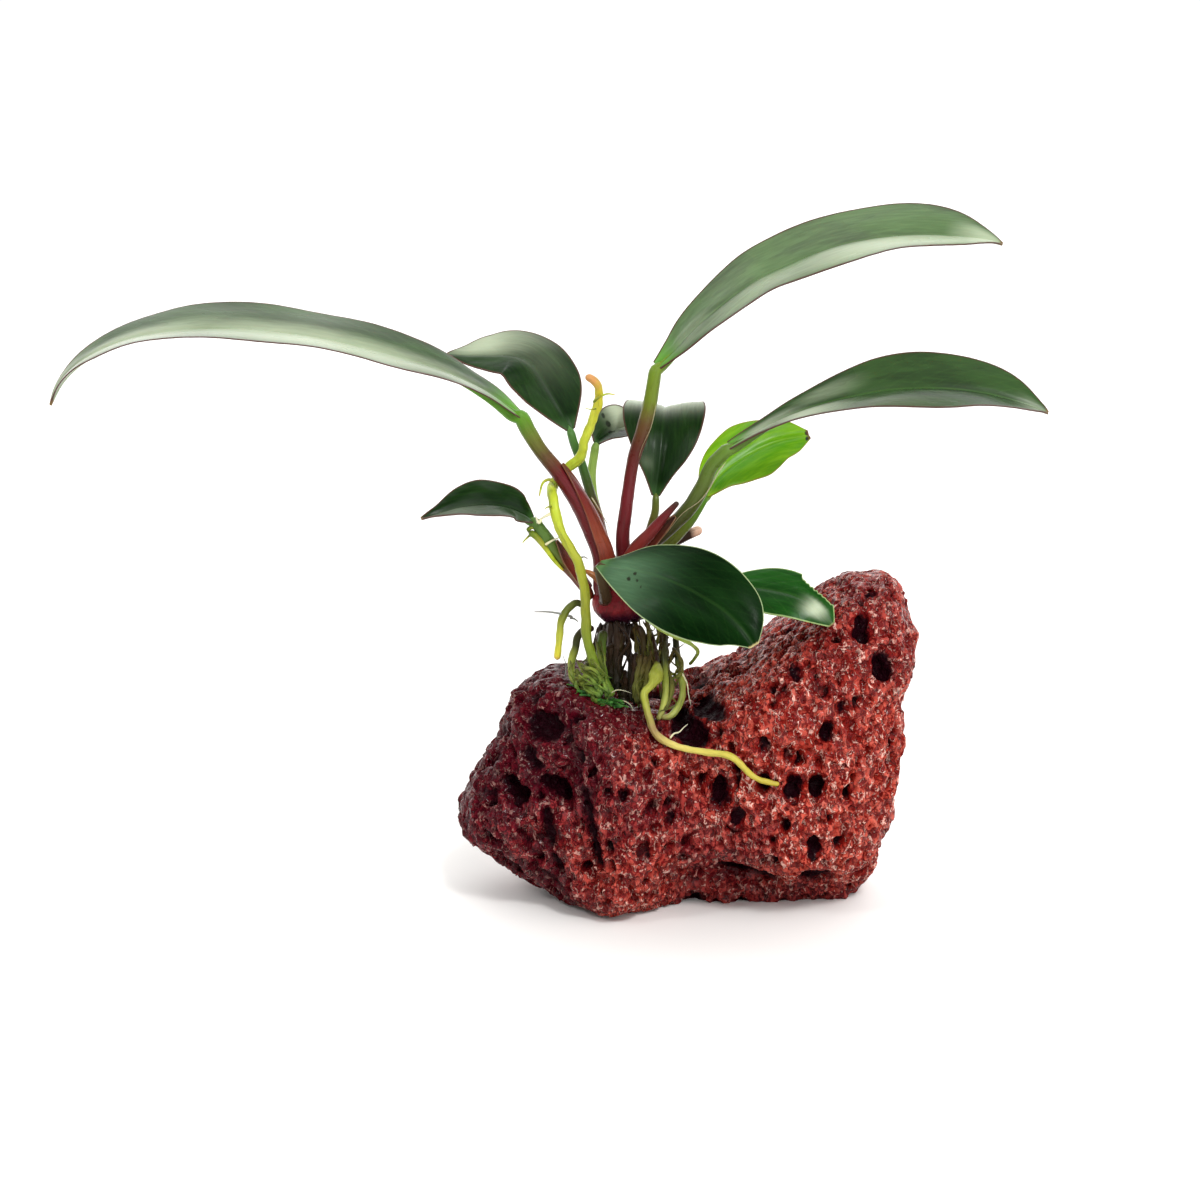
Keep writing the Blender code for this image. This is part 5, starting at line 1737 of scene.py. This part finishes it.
# The root over the stone is dark brown over its first fifth: painted shade where it runs among the other
# roots.
OVER_STONE_SKIN = StemFinish("root_over_stone_skin", ((0.0, DARK_BROWN), (0.195, DARK_BROWN),
    (0.22, (0.36, 0.4, 0.05)), (0.38, (0.34, 0.36, 0.05)), (0.48, (0.3, 0.2, 0.08)),
    (0.58, (0.56, 0.46, 0.12)), (0.75, (0.54, 0.48, 0.08)), (1.0, (0.4, 0.32, 0.03))),
    streak=(0.17, 0.14, 0.03), streak_strength=0.5, lumps=0.4)
HANGING_SKIN = StemFinish("root_hanging_skin", ((0.0, DARK_OLIVE), (0.35, OLIVE), (0.7, (0.42, 0.44, 0.05)),
    (0.93, YELLOW), (1.0, BURNT_TIP)), streak=(0.1, 0.12, 0.03))
LOOP_SKIN = StemFinish("root_loop_skin", ((0.0, DARK_BROWN), (0.35, DARK_OLIVE), (0.5, (0.28, 0.33, 0.05)),
    (0.85, (0.38, 0.42, 0.09)), (1.0, (0.2, 0.18, 0.05))), streak=(0.07, 0.09, 0.02), glow=0.1)
GREEN_SKIN = StemFinish("root_green_skin", ((0.0, DARK_OLIVE), (0.35, (0.14, 0.24, 0.03)),
    (1.0, (0.2, 0.34, 0.04))), streak=(0.05, 0.08, 0.02), glow=0.1)
PROP_SKIN = StemFinish("root_prop_skin", ((0.0, DARK_BROWN), (0.4, (0.085, 0.065, 0.022)),
    (1.0, (0.1, 0.12, 0.03))), streak=(0.03, 0.03, 0.012), streak_strength=0.6)
THIN_SKIN = StemFinish("root_thin_skin", ((0.0, (0.45, 0.55, 0.14)), (0.6, (0.4, 0.52, 0.1)), (1.0, OLIVE)),
    streak=(0.25, 0.3, 0.08), glow=0.1)
TRUNK_SKIN = StemFinish("rootlets_dark", ((0.0, (0.03, 0.014, 0.008)), (0.4, (0.05, 0.026, 0.012)),
    (1.0, (0.01, 0.014, 0.006))), streak=(0.016, 0.01, 0.006), streak_strength=0.6, lumps=0.5)
FAN_SKIN = StemFinish("rootlets_olive", ((0.0, (0.085, 0.05, 0.016)), (0.35, (0.15, 0.13, 0.03)),
    (0.7, (0.18, 0.19, 0.032)), (1.0, (0.08, 0.085, 0.02))), streak=(0.03, 0.022, 0.008),
    streak_strength=0.8, lumps=0.5)
CLUMP_SKIN = StemFinish("rootlets_lime", ((0.0, (0.08, 0.07, 0.02)), (0.3, (0.23, 0.29, 0.045)),
    (0.55, (0.11, 0.17, 0.02)), (0.75, (0.21, 0.32, 0.05)), (1.0, (0.04, 0.1, 0.014))),
    streak=(0.03, 0.028, 0.01), streak_strength=0.8, lumps=0.5)
PALE_HAIR_SKIN = StemFinish("hair_pale", ((0.0, CREAM), (1.0, (0.62, 0.6, 0.45))), streak_strength=0.1)
GREY_HAIR_SKIN = StemFinish("hair_grey", ((0.0, GREY_HAIR), (1.0, GREY_HAIR)), streak_strength=0.2)
EDGE_SKIN = StemFinish("sheath_edge", ((0.0, (0.46, 0.44, 0.26)), (1.0, (0.3, 0.22, 0.12))),
    streak_strength=0.1)
MOSS_SKIN = StemFinish("tuft_green", ((0.0, (0.015, 0.03, 0.008)), (0.5, MOSS_GREEN),
    (1.0, (0.06, 0.2, 0.03))), streak_strength=0.2)

ROOTS = (
    Stem("climbing", ((-14.4, -8.4, 33.6), (-15.0, -8.4, 38.0), (-16.2, -8.2, 42.6), (-17.1, -8, 46.1),
         (-17.2, -7.8, 51.7), (-17.6, -7.4, 54.6), (-18.4, -6.8, 57.7), (-20, -6.4, 60.5),
         (-21.3, -6, 62.9), (-22, -5.4, 65.4), (-22.4, -4.6, 67.2), (-22.6, -1.6, 68.8), (-21.9, 0.9, 70.2),
         (-20.3, 2.2, 71.6), (-18.2, 2.6, 73.1), (-17.6, 2.2, 75.5), (-16.3, 1.8, 79.1), (-15.3, 0.4, 82.3),
         (-15, -1, 85), (-15.8, -2.2, 86.9), (-17.1, -3, 87.5)),
         (0.85, 0.78, 0.84, 0.78, 0.86, 0.8, 0.74, 0.66), CLIMBING_SKIN, 24, Press.DOWN, "root_lime"),
    Stem("hanging", ((-17.5, -4.4, 50.0), (-18.8, -5, 50.6), (-20.2, -5.4, 49.5), (-21.2, -5.8, 47.6),
         (-21.5, -6, 44.6), (-21.9, -6.2, 41.3)), (0.55, 0.65, 0.5), HANGING_SKIN, 9, Press.FREE,
         "root_olive"),
    Stem("over_stone", ((-6.6, -1.6, 45.4), (-5.9, -6, 43.8), (-5.6, -9.6, 41.4), (-6.0, -11.4, 39.2),
         (-7.8, -12.6, 37.1), (-7.4, -13.4, 35.6), (-6.9, -14.8, 33.6), (-5.9, -16.6, 31.5),
         (-3.8, -18, 30.4), (-1, -18.6, 29.6), (2.6, -19.4, 29.2), (5.4, -20, 29.0), (7.2, -20.6, 28.0),
         (8.9, -21, 26.2), (10.8, -21.4, 25.2), (13.7, -21.6, 24.6)),
         (0.36, 0.32, 0.3, 0.3, 0.38, 0.62, 0.62, 0.62, 0.62, 0.62, 0.6, 0.58, 0.5, 0.52, 0.56, 0.56,
         0.54, 0.52, 0.5, 0.46, 0.4), OVER_STONE_SKIN, 28, Press.BACK, "root_lime", lobe=(0.245, 0.03, 0.62)),
    Stem("loop_left", ((-4.0, -4.4, 45.6), (-4.4, -8, 42.4), (-4.2, -10.5, 38.2), (-4.4, -11.5, 35.8),
         (-5.6, -12.6, 32.0)), (0.5, 0.55, 0.5), LOOP_SKIN, 10, Press.DOWN, "root_olive"),
    Stem("loop_right", ((-2.6, -1.6, 46.4), (-2.2, -6, 42.0), (-1.5, -8.4, 38.4), (-1.5, -9.8, 36.0),
         (-2.6, -11.2, 34.0), (-5.0, -12.6, 32.4)), (0.5, 0.55, 0.55, 0.5), LOOP_SKIN, 12, Press.DOWN,
         "root_olive"),
    Stem("left_outer", ((-15.8, -4.2, 46.2), (-18.1, -4.6, 45.6), (-18.9, -4.8, 42.9), (-19.6, -5, 40),
         (-19.1, -6, 37.2), (-18, -8, 34.2)), (0.6, 0.65, 0.6), LOOP_SKIN, 10, Press.DOWN, "root_olive"),
    Stem("left_inner", ((-14.2, -4.2, 45.8), (-14.6, -4.6, 43.4), (-14.6, -4.8, 39.8), (-12.8, -7, 33.4)),
         (0.7, 0.8, 0.8), GREEN_SKIN, 8, Press.DOWN, "root_olive"),
    Stem("left_back", ((-13.9, 1, 45.6), (-14.9, 2, 42.8), (-16.5, 2.5, 39.6), (-17.5, 2, 35.3)),
         (0.7, 0.7, 0.6), PROP_SKIN, 7, Press.DOWN, "root_olive"),
    Stem("prop_front", ((-11.7, -2.6, 45.6), (-11.9, -3, 43.1), (-12.0, -3.6, 39.4), (-10.6, -5.6, 33.0)),
         (0.9, 0.8, 0.8), PROP_SKIN, 7, Press.DOWN, "root_olive"),
    Stem("prop_back", ((-9.9, 1.5, 45.7), (-9.4, 1.5, 43.7), (-8, 1.4, 41.6), (-8.5, 0.4, 38.5),
         (-8.2, -1, 33)), (0.7, 0.6, 0.6), PROP_SKIN, 8, Press.DOWN, "root_olive"),
    Stem("prop_right", ((-8.5, -2.4, 46.2), (-7.8, -3.4, 44.8), (-7.6, -4.4, 41), (-8.3, -6, 33.8)),
         (0.6, 0.6, 0.6), PROP_SKIN, 7, Press.DOWN, "root_olive"),
    Stem("prop_far", ((-5.2, 1.8, 46.8), (-4.6, 1.4, 43), (-3.9, 0.6, 39.8), (-3.6, -1, 34)),
         (0.6, 0.6, 0.5), PROP_SKIN, 7, Press.DOWN, "root_olive"),
    Stem("thin_right", ((-7.0, -2.6, 47.4), (-5.4, -5.6, 46.6), (-3.1, -6.8, 45.6), (-0.7, -7.4, 44.6),
         (0.8, -7.4, 43.6), (1.1, -7, 42.7), (0.6, -6.4, 41.6), (-0.2, -5.6, 40.4)),
         (0.35, 0.4, 0.35, 0.25), THIN_SKIN, 10, Press.DOWN, "root_olive"),
)

# The rootlets under the rhizome, in three groups: each one's radius and line.
TRUNK_ROOTLETS = (
    (0.85, ((-13, -2, 47.1), (-13, -2.5, 43.5), (-12.9, -3.5, 40.7), (-12.7, -5.5, 35.7))),
    (0.7, ((-12.1, -3, 47.3), (-12.1, -3.2, 44), (-12.1, -4, 41.4), (-12.2, -6, 36.2))),
    (0.6, ((-11.2, -2, 46.9), (-11.2, -2, 43.3), (-11.6, -3, 41.4), (-11.9, -5, 35.9))),
    (0.55, ((-13.7, 0, 46.6), (-13.9, 0, 43.2), (-13.9, -1, 40.9), (-14.2, -2, 35.2))),
    (0.5, ((-10.6, -1, 46.7), (-10.4, -1, 44.5), (-10.2, -2, 42), (-9.8, -4, 39.4), (-9.9, -6, 35.9))),
    (0.55, ((-9, -5, 42.4), (-9.1, -6, 39.9), (-9.5, -7, 37.5), (-9.8, -8.5, 34.8))),
    (0.6, ((-10.9, -3, 38.8), (-10.7, -5, 37.3), (-10.9, -7, 35.8), (-11.3, -8, 34.3))),
    (0.45, ((-14.7, 1, 46.1), (-14.9, 1, 43), (-14.5, 0, 39.8), (-14.7, -2, 35.2))),
)
FAN_ROOTLETS = (
    (0.48, ((-9.2, -1, 46.8), (-8.4, -2, 44.7), (-7.4, -3, 42.6), (-7, -5, 40.7), (-7.3, -8, 36.7))),
    (0.32, ((-9.4, -2, 46.1), (-8.9, -2, 43.7), (-8.9, -3, 41.9), (-8.1, -5, 40.3), (-7.8, -8, 38))),
    (0.45, ((-7.3, -2, 47.6), (-6.8, -3, 45.4), (-6.5, -4, 43.3), (-6.3, -6, 41.2), (-5.7, -9, 37.3))),
    (0.3, ((-6.3, -3, 48), (-5.2, -4, 46.2), (-5.3, -4, 44.5), (-5.8, -5, 43.2), (-6.5, -7, 41.5))),
    (0.34, ((-3.3, -6, 44.1), (-4.2, -6, 43.3), (-5.1, -7, 42.3), (-5.7, -8, 40.4), (-6.4, -9, 37.9))),
    (0.55, ((-7.2, -6, 42.1), (-7.8, -7, 39.8), (-8.5, -8, 37.4), (-8.8, -10, 34.8))),
    (0.6, ((-6.4, -6, 42.3), (-6.9, -7.5, 39.9), (-7.4, -9, 37.3), (-7.9, -11, 34.8))),
    (0.5, ((-8.1, -6, 42.3), (-8.5, -7, 40.1), (-9, -8, 37.7), (-9.3, -9, 35.3))),
    (0.4, ((-5.5, -6, 42.6), (-4.9, -7, 40.8), (-4.4, -8.5, 38.5), (-4.8, -10, 35.2))),
    (0.36, ((-3.1, -6, 43.4), (-2.1, -7, 42.3), (-1.5, -8, 40.9), (-1.8, -8.5, 39.5), (-3, -9, 38.9),
            (-4, -9.5, 38.2))),
    (0.3, ((-2.8, -6, 42.9), (-3.4, -7, 41.6), (-3.9, -8, 40.4), (-3.6, -9, 39.1), (-2.5, -9.5, 38.1))),
    (0.42, ((-5.2, -7, 41.5), (-3.9, -8.5, 39.8), (-3.2, -10, 38.2), (-3.5, -11, 36.1),
            (-4.5, -12, 34.3))),
)
CLUMP_ROOTLETS = (
    (0.25, ((-19.7, -7, 41.5), (-19.4, -7.5, 39.6), (-18.9, -8.5, 37.8), (-18.1, -10, 35.8))),
    (0.43, ((-18.8, -7, 40.1), (-18.1, -8, 38.7), (-17.1, -9, 37.1), (-16.2, -10, 35.5))),
    (0.47, ((-17.5, -7.5, 40.9), (-16.6, -8.5, 39.2), (-15.5, -9.5, 37.7), (-14.5, -10.5, 36.3))),
    (0.39, ((-18.3, -6.5, 41), (-17.1, -7.5, 39.9), (-15.8, -9, 39.3), (-14.4, -10, 38.2))),
    (0.43, ((-18.9, -8, 39), (-17.6, -9, 37.9), (-16.1, -10, 37.2), (-14.7, -11, 36.1))),
    (0.35, ((-16.5, -8, 41.4), (-15.8, -9, 39.9), (-14.5, -9.5, 38.7), (-13.7, -10, 36.5))),
    (0.33, ((-14.9, -6, 41.9), (-14.4, -7, 39.5), (-13.9, -8, 37.4), (-13.4, -9.5, 35.4))),
    (0.39, ((-17.9, -9, 37.1), (-16.5, -10, 36), (-14.9, -11, 35.4), (-13.6, -11.5, 35.1))),
    (0.31, ((-17.8, -9, 40.3), (-16.5, -9.5, 40.7), (-15.2, -10, 40), (-14.9, -10, 38.5),
            (-15.8, -10, 37.5))),
    (0.28, ((-18.4, -9, 38.3), (-17.4, -10, 39.5), (-16.1, -10.5, 39), (-15.3, -11, 37.4))),
    (0.35, ((-15.5, -5, 44.4), (-15, -6, 42.1), (-14.4, -7, 40.1), (-13.9, -9, 38.3),
            (-13.7, -10.5, 36))),
)

# Single hairs and rootlets that show in front: their thickness at the start, then their lines.
PALE_HAIRS = (
    (0.32, ((-22.4, -5.4, 65.6), (-23.4, -5.5, 65.2), (-24.4, -5.5, 64.6), (-25.2, -5.6, 63.9))),
    (0.3, ((-24.3, -5.5, 64.6), (-24.8, -5.8, 64.0), (-25.3, -6.0, 65.2))),
    (0.16, ((-1.6, -12, 40.5), (-0.8, -12, 38.8), (-0.5, -12, 36.8), (-0.1, -12, 35.0))),
    (0.13, ((-12.2, -9, 34.4), (-11.6, -9, 35.1), (-10.5, -9, 34.9), (-9.6, -9, 33.9), (-10.1, -9, 32.7),
            (-11.3, -9, 32.6))),
    (0.12, ((-13.1, -9, 36.4), (-12.2, -9, 36.9), (-11.3, -9, 36.9), (-10.3, -9, 36.6), (-9.6, -9, 36.3))),
    (0.24, ((-23.8, -5, 60.2), (-22.5, -5, 61.0), (-21.3, -5, 61.5))),
    (0.17, ((-3.7, -17.6, 31.0), (-3.0, -17.3, 31.8), (-2.2, -17.2, 32.0), (-1.5, -16.8, 32.6),
            (-0.7, -16.4, 33.2))),
)
GREEN_HAIRS = (
    (0.34, ((-22.1, -4.4, 70.0), (-22.6, -5, 70.8), (-23.4, -5, 70.9), (-24.2, -5, 70.2), (-24.7, -5, 68.1))),
    (0.26, ((-16.0, -1.6, 83.0), (-14.9, -2, 84.0), (-13.6, -2, 84.5), (-12.3, -2, 84.3))),
    (0.15, ((-15.4, -1.6, 82.0), (-16.5, -2, 82.0), (-17.3, -2, 82.2))),
    (0.42, ((-26.7, -4, 62.2), (-26.1, -4, 62.9), (-24.8, -4, 62.7), (-23.0, -3.8, 61.2))),
    (0.22, ((-26.2, -4, 61.7), (-27.1, -4, 60.8), (-27.5, -4, 60.3))),
    (0.62, ((-26.6, -4.2, 62.3), (-25.4, -4.3, 61.6), (-24.0, -4.2, 59.9), (-22.3, -3.9, 57.4),
            (-20.6, -3.4, 55.4))),
    (0.2, ((-22.6, -6, 66.7), (-23.4, -6, 66.6), (-23.8, -6, 66.2))),
)
GREY_HAIRS = (
    (0.2, ((-18.4, -6, 58.2), (-17.4, -6.4, 58.5), (-16.8, -6.4, 58.1))),
    (0.26, ((-19.2, -5.4, 48.3), (-21.0, -5.8, 48.9), (-23.3, -6, 49.3), (-25.8, -6, 49.3))),
    (0.22, ((-19.8, -5, 48.1), (-19.0, -5, 47.9), (-18.4, -5, 47.4))),
    (0.14, ((-20.6, -6, 38.2), (-20.4, -6.4, 40.3), (-20.9, -6.6, 42.2))),
)
# The pale edges of the sheaths, in the same way.
EDGE_LINES = (
    (0.11, ((5.6, -6.2, 74.2), (4.3, -6.2, 72.5), (2.7, -5.6, 69.4), (1.1, -5.2, 67.3), (-1.6, -4.6, 65.2),
            (-4.6, -4.2, 61.2))),
    (0.11, ((-16.3, -3.4, 67.9), (-15.4, -3.5, 66.5), (-14.3, -3.6, 64.6), (-13.0, -3.6, 62.2))),
    (0.07, ((-5.6, 2.6, 82.6), (-6.5, 1.4, 78.6), (-7.9, 0.7, 75.6), (-8.6, 0.4, 73.4))),
)

ROOTLET_GROUPS = (
    ("trunk_rootlets", TRUNK_ROOTLETS, TRUNK_SKIN),
    ("fan_rootlets", FAN_ROOTLETS, FAN_SKIN),
    ("clump_rootlets", CLUMP_ROOTLETS, CLUMP_SKIN),
)
HAIR_GROUPS = (
    ("pale_hairs", PALE_HAIRS, PALE_HAIR_SKIN),
    ("green_hairs", GREEN_HAIRS, CLIMBING_SKIN),
    ("grey_hairs", GREY_HAIRS, GREY_HAIR_SKIN),
    ("sheath_edges", EDGE_LINES, EDGE_SKIN),
)


def strands(name: str, lines: Sequence[Array], radii: Sequence[Array], sides: int) -> Workpiece:
    """Many thin strands in one mesh, each closed to a point at both ends.

    Args:
        name: The piece's name.
        lines: Each strand's points in millimetres, as many for one as for another.
        radii: Each strand's radius at those points.
        sides: How many faces go round a strand.

    Returns:
        The piece, welded and smooth.
    """
    rows = len(lines[0]) - 1
    piece = Workpiece.grid(name, rows, sides)
    flat = piece.read()
    piece.apply("ARRAY", count=len(lines), use_merge_vertices=False)
    row = np.rint((flat[:, 0] + 1) / 2 * rows).astype(int)
    angle = (flat[:, 1] + 1) * math.pi
    places = []
    grains = []
    for line, radius in zip(lines, radii):
        _, firsts, seconds = carried_frames(line)
        around = firsts[row] * np.cos(angle)[:, None] + seconds[row] * np.sin(angle)[:, None]
        places.append(line[row] + around * radius[row][:, None])
        reach = length_along(line)[row]
        grains.append(np.column_stack([np.cos(angle), np.sin(angle), reach]) + line[0])
    piece.shape(np.vstack(places))
    piece.hold("along", np.tile(row / rows, len(lines)))
    piece.hold("edge", np.full(len(flat) * len(lines), NO_EDGE))
    piece.hold("grain", np.vstack(grains))
    piece.weld()
    piece.smooth()
    return piece


def blunt_ends(count: int, bluntness: int) -> Array:
    """Shares of a strand's radius, which fall to nothing at both its ends.

    Args:
        count: How many shares there are.
        bluntness: How late they fall.

    Returns:
        The shares.
    """
    return np.sqrt(np.clip(1 - np.linspace(-1, 1, count) ** bluntness, 0, 1))


@dataclass(frozen=True)
class Roots:
    """The roots, the tangle of rootlets under the rhizome, single hairs and the small green tufts."""

    stone: bpy.types.Object
    roots: tuple[Stem, ...] = ROOTS
    sides: int = 14
    spacing: float = 0.4
    knobs: float = 0.22
    root_points: int = 120
    reach: float = 60.0
    clearance: float = 0.05
    # The rootlets: how thick each of a set is and how far it strays, and how it swells along its way.
    sets: tuple = ((1.0, 0.0), (0.5, 0.55), (0.35, 0.9))
    ripple: Span = (0.18, 0.9)
    ripple_start: float = 6.0
    # Points, sides and how blunt the ends are.
    rootlet_mesh: tuple[int, int, int] = (25, 10, 8)
    tuft_mesh: tuple[int, int, int] = (9, 6, 4)
    hair_mesh: tuple[int, int] = (17, 7)
    hair_tip: float = 0.35
    # The tufts: where each one in turn stands, how far apart, and how its strands lean, curl and taper.
    tuft_places: tuple = ((-16.6, -9.0), (-13.2, -10.6), (-13.2, -10.6))
    tuft_spread: float = 0.6
    tuft_above: float = 50.0
    tuft_rooted: Point = (0.0, 0.0, 0.2)
    tuft_strands: int = 90
    tuft_leans: tuple[Span, Span] = ((0.0, 0.8), (-0.2, 0.6))
    tuft_rises: Span = (0.4, 1.0)
    tuft_lengths: Span = (0.6, 1.5)
    tuft_curl: float = 0.5
    tuft_droop: float = -0.3
    tuft_radii: Span = (0.14, 0.28)
    tuft_seed: int = 24

    def settled(self, line: Array, radii: Array, inward: Point, surface: BVHTree) -> Array:
        """A line whose points in the stone are moved out to lie on it.

        Args:
            line: The root's points.
            radii: Its radius at each.
            inward: The way it presses on the stone.
            surface: The stone's surface, in metres.

        Returns:
            The points moved out.
        """
        way = Vector(inward)
        placed = []
        for place, radius in zip(line, radii):
            point = Vector(place) * MM
            clear = (radius + self.clearance) * MM
            spot = surface.ray_cast(point - way * self.reach * MM, way)[0]
            if spot and (point - spot).dot(way) > -clear:
                point = spot - way * clear
            placed.append(point / MM)
        return np.array(placed)

    def root(self, stem: Stem, surface: BVHTree) -> None:
        """Models one root.

        Args:
            stem: The root's shape.
            surface: The stone's surface, which it may lie on.
        """
        line = smooth_through(stem.line, stem.points)
        radii = spread(stem.radii, np.linspace(0, 1, stem.points))
        if stem.press is not Press.FREE:
            line = self.settled(line, radii, stem.press.value, surface)
        shares = np.linspace(0, 1, self.root_points)
        radii = spread(stem.radii, shares)
        if stem.lobe:
            middle, reach, swell = stem.lobe
            radii = radii + swell * np.exp(-(((shares - middle) / reach) ** 2))
        line = smooth_through(line, self.root_points)
        piece = tube(f"{stem.name}_root", line, radii, self.sides, self.spacing, self.knobs, len(stem.name))
        piece.dress([stem.finish.material()], stem.slot, f"root_{stem.name}")

    def rootlets(self, name: str, table: tuple, finish: StemFinish, surface: BVHTree) -> None:
        """Models one group of rootlets, each with two thinner ones that wander beside it.

        Args:
            name: The piece's name.
            table: Each rootlet's radius and line.
            finish: Their skin.
            surface: The stone's surface, which their ends lie on.
        """
        chance = random.Random(name)
        count, sides, ends = self.rootlet_mesh
        taper = blunt_ends(count, ends)
        height, pace = self.ripple
        lines = []
        radii = []
        for radius, points in table:
            for share, stray in self.sets:
                moved = [[value + chance.gauss(0, stray) for value in point] for point in points]
                swell = 1 + height * np.sin(np.arange(count) * pace + chance.uniform(0, self.ripple_start))
                thick = radius * share * taper * swell
                line = self.settled(smooth_through(moved, count), thick, Press.DOWN.value, surface)
                lines.append(smooth_through(line, count))
                radii.append(thick)
        piece = strands(name, lines, radii, sides)
        piece.dress([finish.material()], "root_olive")

    def hairs(self, name: str, table: tuple, finish: StemFinish) -> None:
        """Models a group of single hairs.

        Args:
            name: The piece's name.
            table: Each hair's radius at its start, and its line.
            finish: Their skin.
        """
        count, sides = self.hair_mesh
        taper = np.linspace(1.0, self.hair_tip, count)
        taper[0] = 0.0
        taper[-1] = 0.0
        lines = [smooth_through(points, count) for _, points in table]
        piece = strands(name, lines, [radius * taper for radius, _ in table], sides)
        piece.dress([finish.material()], "root_lime")

    def tufts(self, surface: BVHTree) -> None:
        """Models the green tufts at the foot of the roots.

        Args:
            surface: The stone's surface, which they stand on.
        """
        chance = random.Random(self.tuft_seed)
        lines = []
        radii = []
        count, sides, ends = self.tuft_mesh
        taper = blunt_ends(count, ends)
        for number in range(self.tuft_strands):
            middle = self.tuft_places[number % len(self.tuft_places)]
            foot = Vector((*(chance.gauss(value, self.tuft_spread) for value in middle), self.tuft_above))
            spot = surface.ray_cast(foot * MM, Vector(Press.DOWN.value))[0]
            root = np.array(spot / MM) - self.tuft_rooted
            lean = [chance.gauss(*way) for way in self.tuft_leans]
            lean = np.array((*lean, chance.uniform(*self.tuft_rises)))
            length = chance.uniform(*self.tuft_lengths)
            curl = np.array((*(chance.gauss(0, self.tuft_curl) for _ in range(2)), self.tuft_droop))
            points = (root, root + lean * length * 0.5, root + (lean + curl) * length)
            lines.append(smooth_through(points, count))
            radii.append(chance.uniform(*self.tuft_radii) * taper)
        piece = strands("green_tufts", lines, radii, sides)
        piece.dress([MOSS_SKIN.material()], "root_olive")

    def build(self) -> None:
        """Models and dresses every root."""
        surface = BVHTree.FromObject(self.stone, bpy.context.evaluated_depsgraph_get())
        for stem in self.roots:
            self.root(stem, surface)
        for group in ROOTLET_GROUPS:
            self.rootlets(*group, surface)
        self.tufts(surface)
        for group in HAIR_GROUPS:
            self.hairs(*group)


# The stage


@dataclass(frozen=True)
class Studio:
    """The camera at the photograph's angle, a pale floor and soft light from behind and above."""

    target: Point = (-0.01485, 0.0, 0.05)
    distance: float = 0.45
    tilt: float = 12.0
    lens: float = 81.82
    floor_size: float = 6.0
    floor_colour: Colour = (0.88, 0.865, 0.845)
    floor_waves: float = 40.0
    # The surroundings' strength: at the back, at the top, all over, and as the camera sees them.
    back_from: Span = (-0.1, 0.8)
    back_light: float = 1.9
    top_from: Span = (0.1, 0.9)
    top_light: float = 0.35
    even_light: float = 0.2
    seen_light: float = 1.05
    # The suns: their names, where they shine from, their width in degrees and their strength.
    suns: tuple = (
        ("key", (0.7, -1.0, 0.8), 70.0, 1.8),
        ("glint", (0.3, -0.75, 0.9), 11.0, 1.3),
        ("left_glint", (-0.7, -0.6, 0.8), 9.0, 0.5),
    )

    def camera(self) -> None:
        """Puts the camera in place."""
        tilt = math.radians(self.tilt)
        x, y, z = self.target
        place = (x, y - self.distance * math.cos(tilt), z + self.distance * math.sin(tilt))
        bpy.ops.object.camera_add(location=place, rotation=(math.pi / 2 - tilt, 0, 0))
        made = bpy.context.active_object
        made.name = "camera"
        made.data.lens = self.lens
        made.data.sensor_width = 36.0
        bpy.context.scene.camera = made

    def floor(self) -> None:
        """Lays the floor."""
        bpy.ops.mesh.primitive_plane_add(size=self.floor_size)
        made = bpy.context.active_object
        made.name = "floor"
        paint = Paint("floor_paper")
        shade = paint.noise(paint.place(), self.floor_waves, 2.0)
        made.data.materials.append(paint.finish(base_color=self.floor_colour, roughness=0.85 + shade * 0.1))

    def light(self) -> None:
        """Sets the bright surroundings and the suns."""
        scene = bpy.context.scene
        scene.world = bpy.data.worlds.new("surroundings")
        scene.world.use_nodes = True
        sky = Nodes(scene.world.node_tree)
        way = sky.node("ShaderNodeTexCoord", output="Generated")
        around = sky.axis(way, "Y").step(*self.back_from) * self.back_light
        around = around + sky.axis(way, "Z").step(*self.top_from) * self.top_light + self.even_light
        seen = sky.node("ShaderNodeLightPath", output="Is Camera Ray")
        background = sky.tree.nodes["Background"].inputs
        sky.put(around * (1 - seen) + seen * self.seen_light, background["Strength"])
        sky.put((1.0, 1.0, 1.0), background["Color"])
        for sun in self.suns:
            self.sun(*sun)
        scene.view_settings.view_transform = "Standard"

    def sun(self, name: str, source: Point, angle: float, strength: float) -> None:
        """Adds a sun.

        Args:
            name: Its name.
            source: The direction that it shines from.
            angle: How wide it is, in degrees.
            strength: How strong it is.
        """
        turn = Vector(source).to_track_quat("Z", "Y").to_euler()
        bpy.ops.object.light_add(type="SUN", rotation=turn)
        made = bpy.context.active_object
        made.name = name
        made.data.angle = math.radians(angle)
        made.data.energy = strength

    def build(self) -> None:
        """Makes the stage."""
        self.floor()
        self.light()
        self.camera()


def main() -> None:
    """Builds every piece around the solids, then the stage."""
    logging.basicConfig(level=logging.INFO, format="%(message)s")
    stone = LavaStone().build()
    Rhizome().build()
    Stalks().build()
    Foliage().build()
    Roots(stone.object).build()
    Studio().build()


if __name__ == "__main__":
    main()
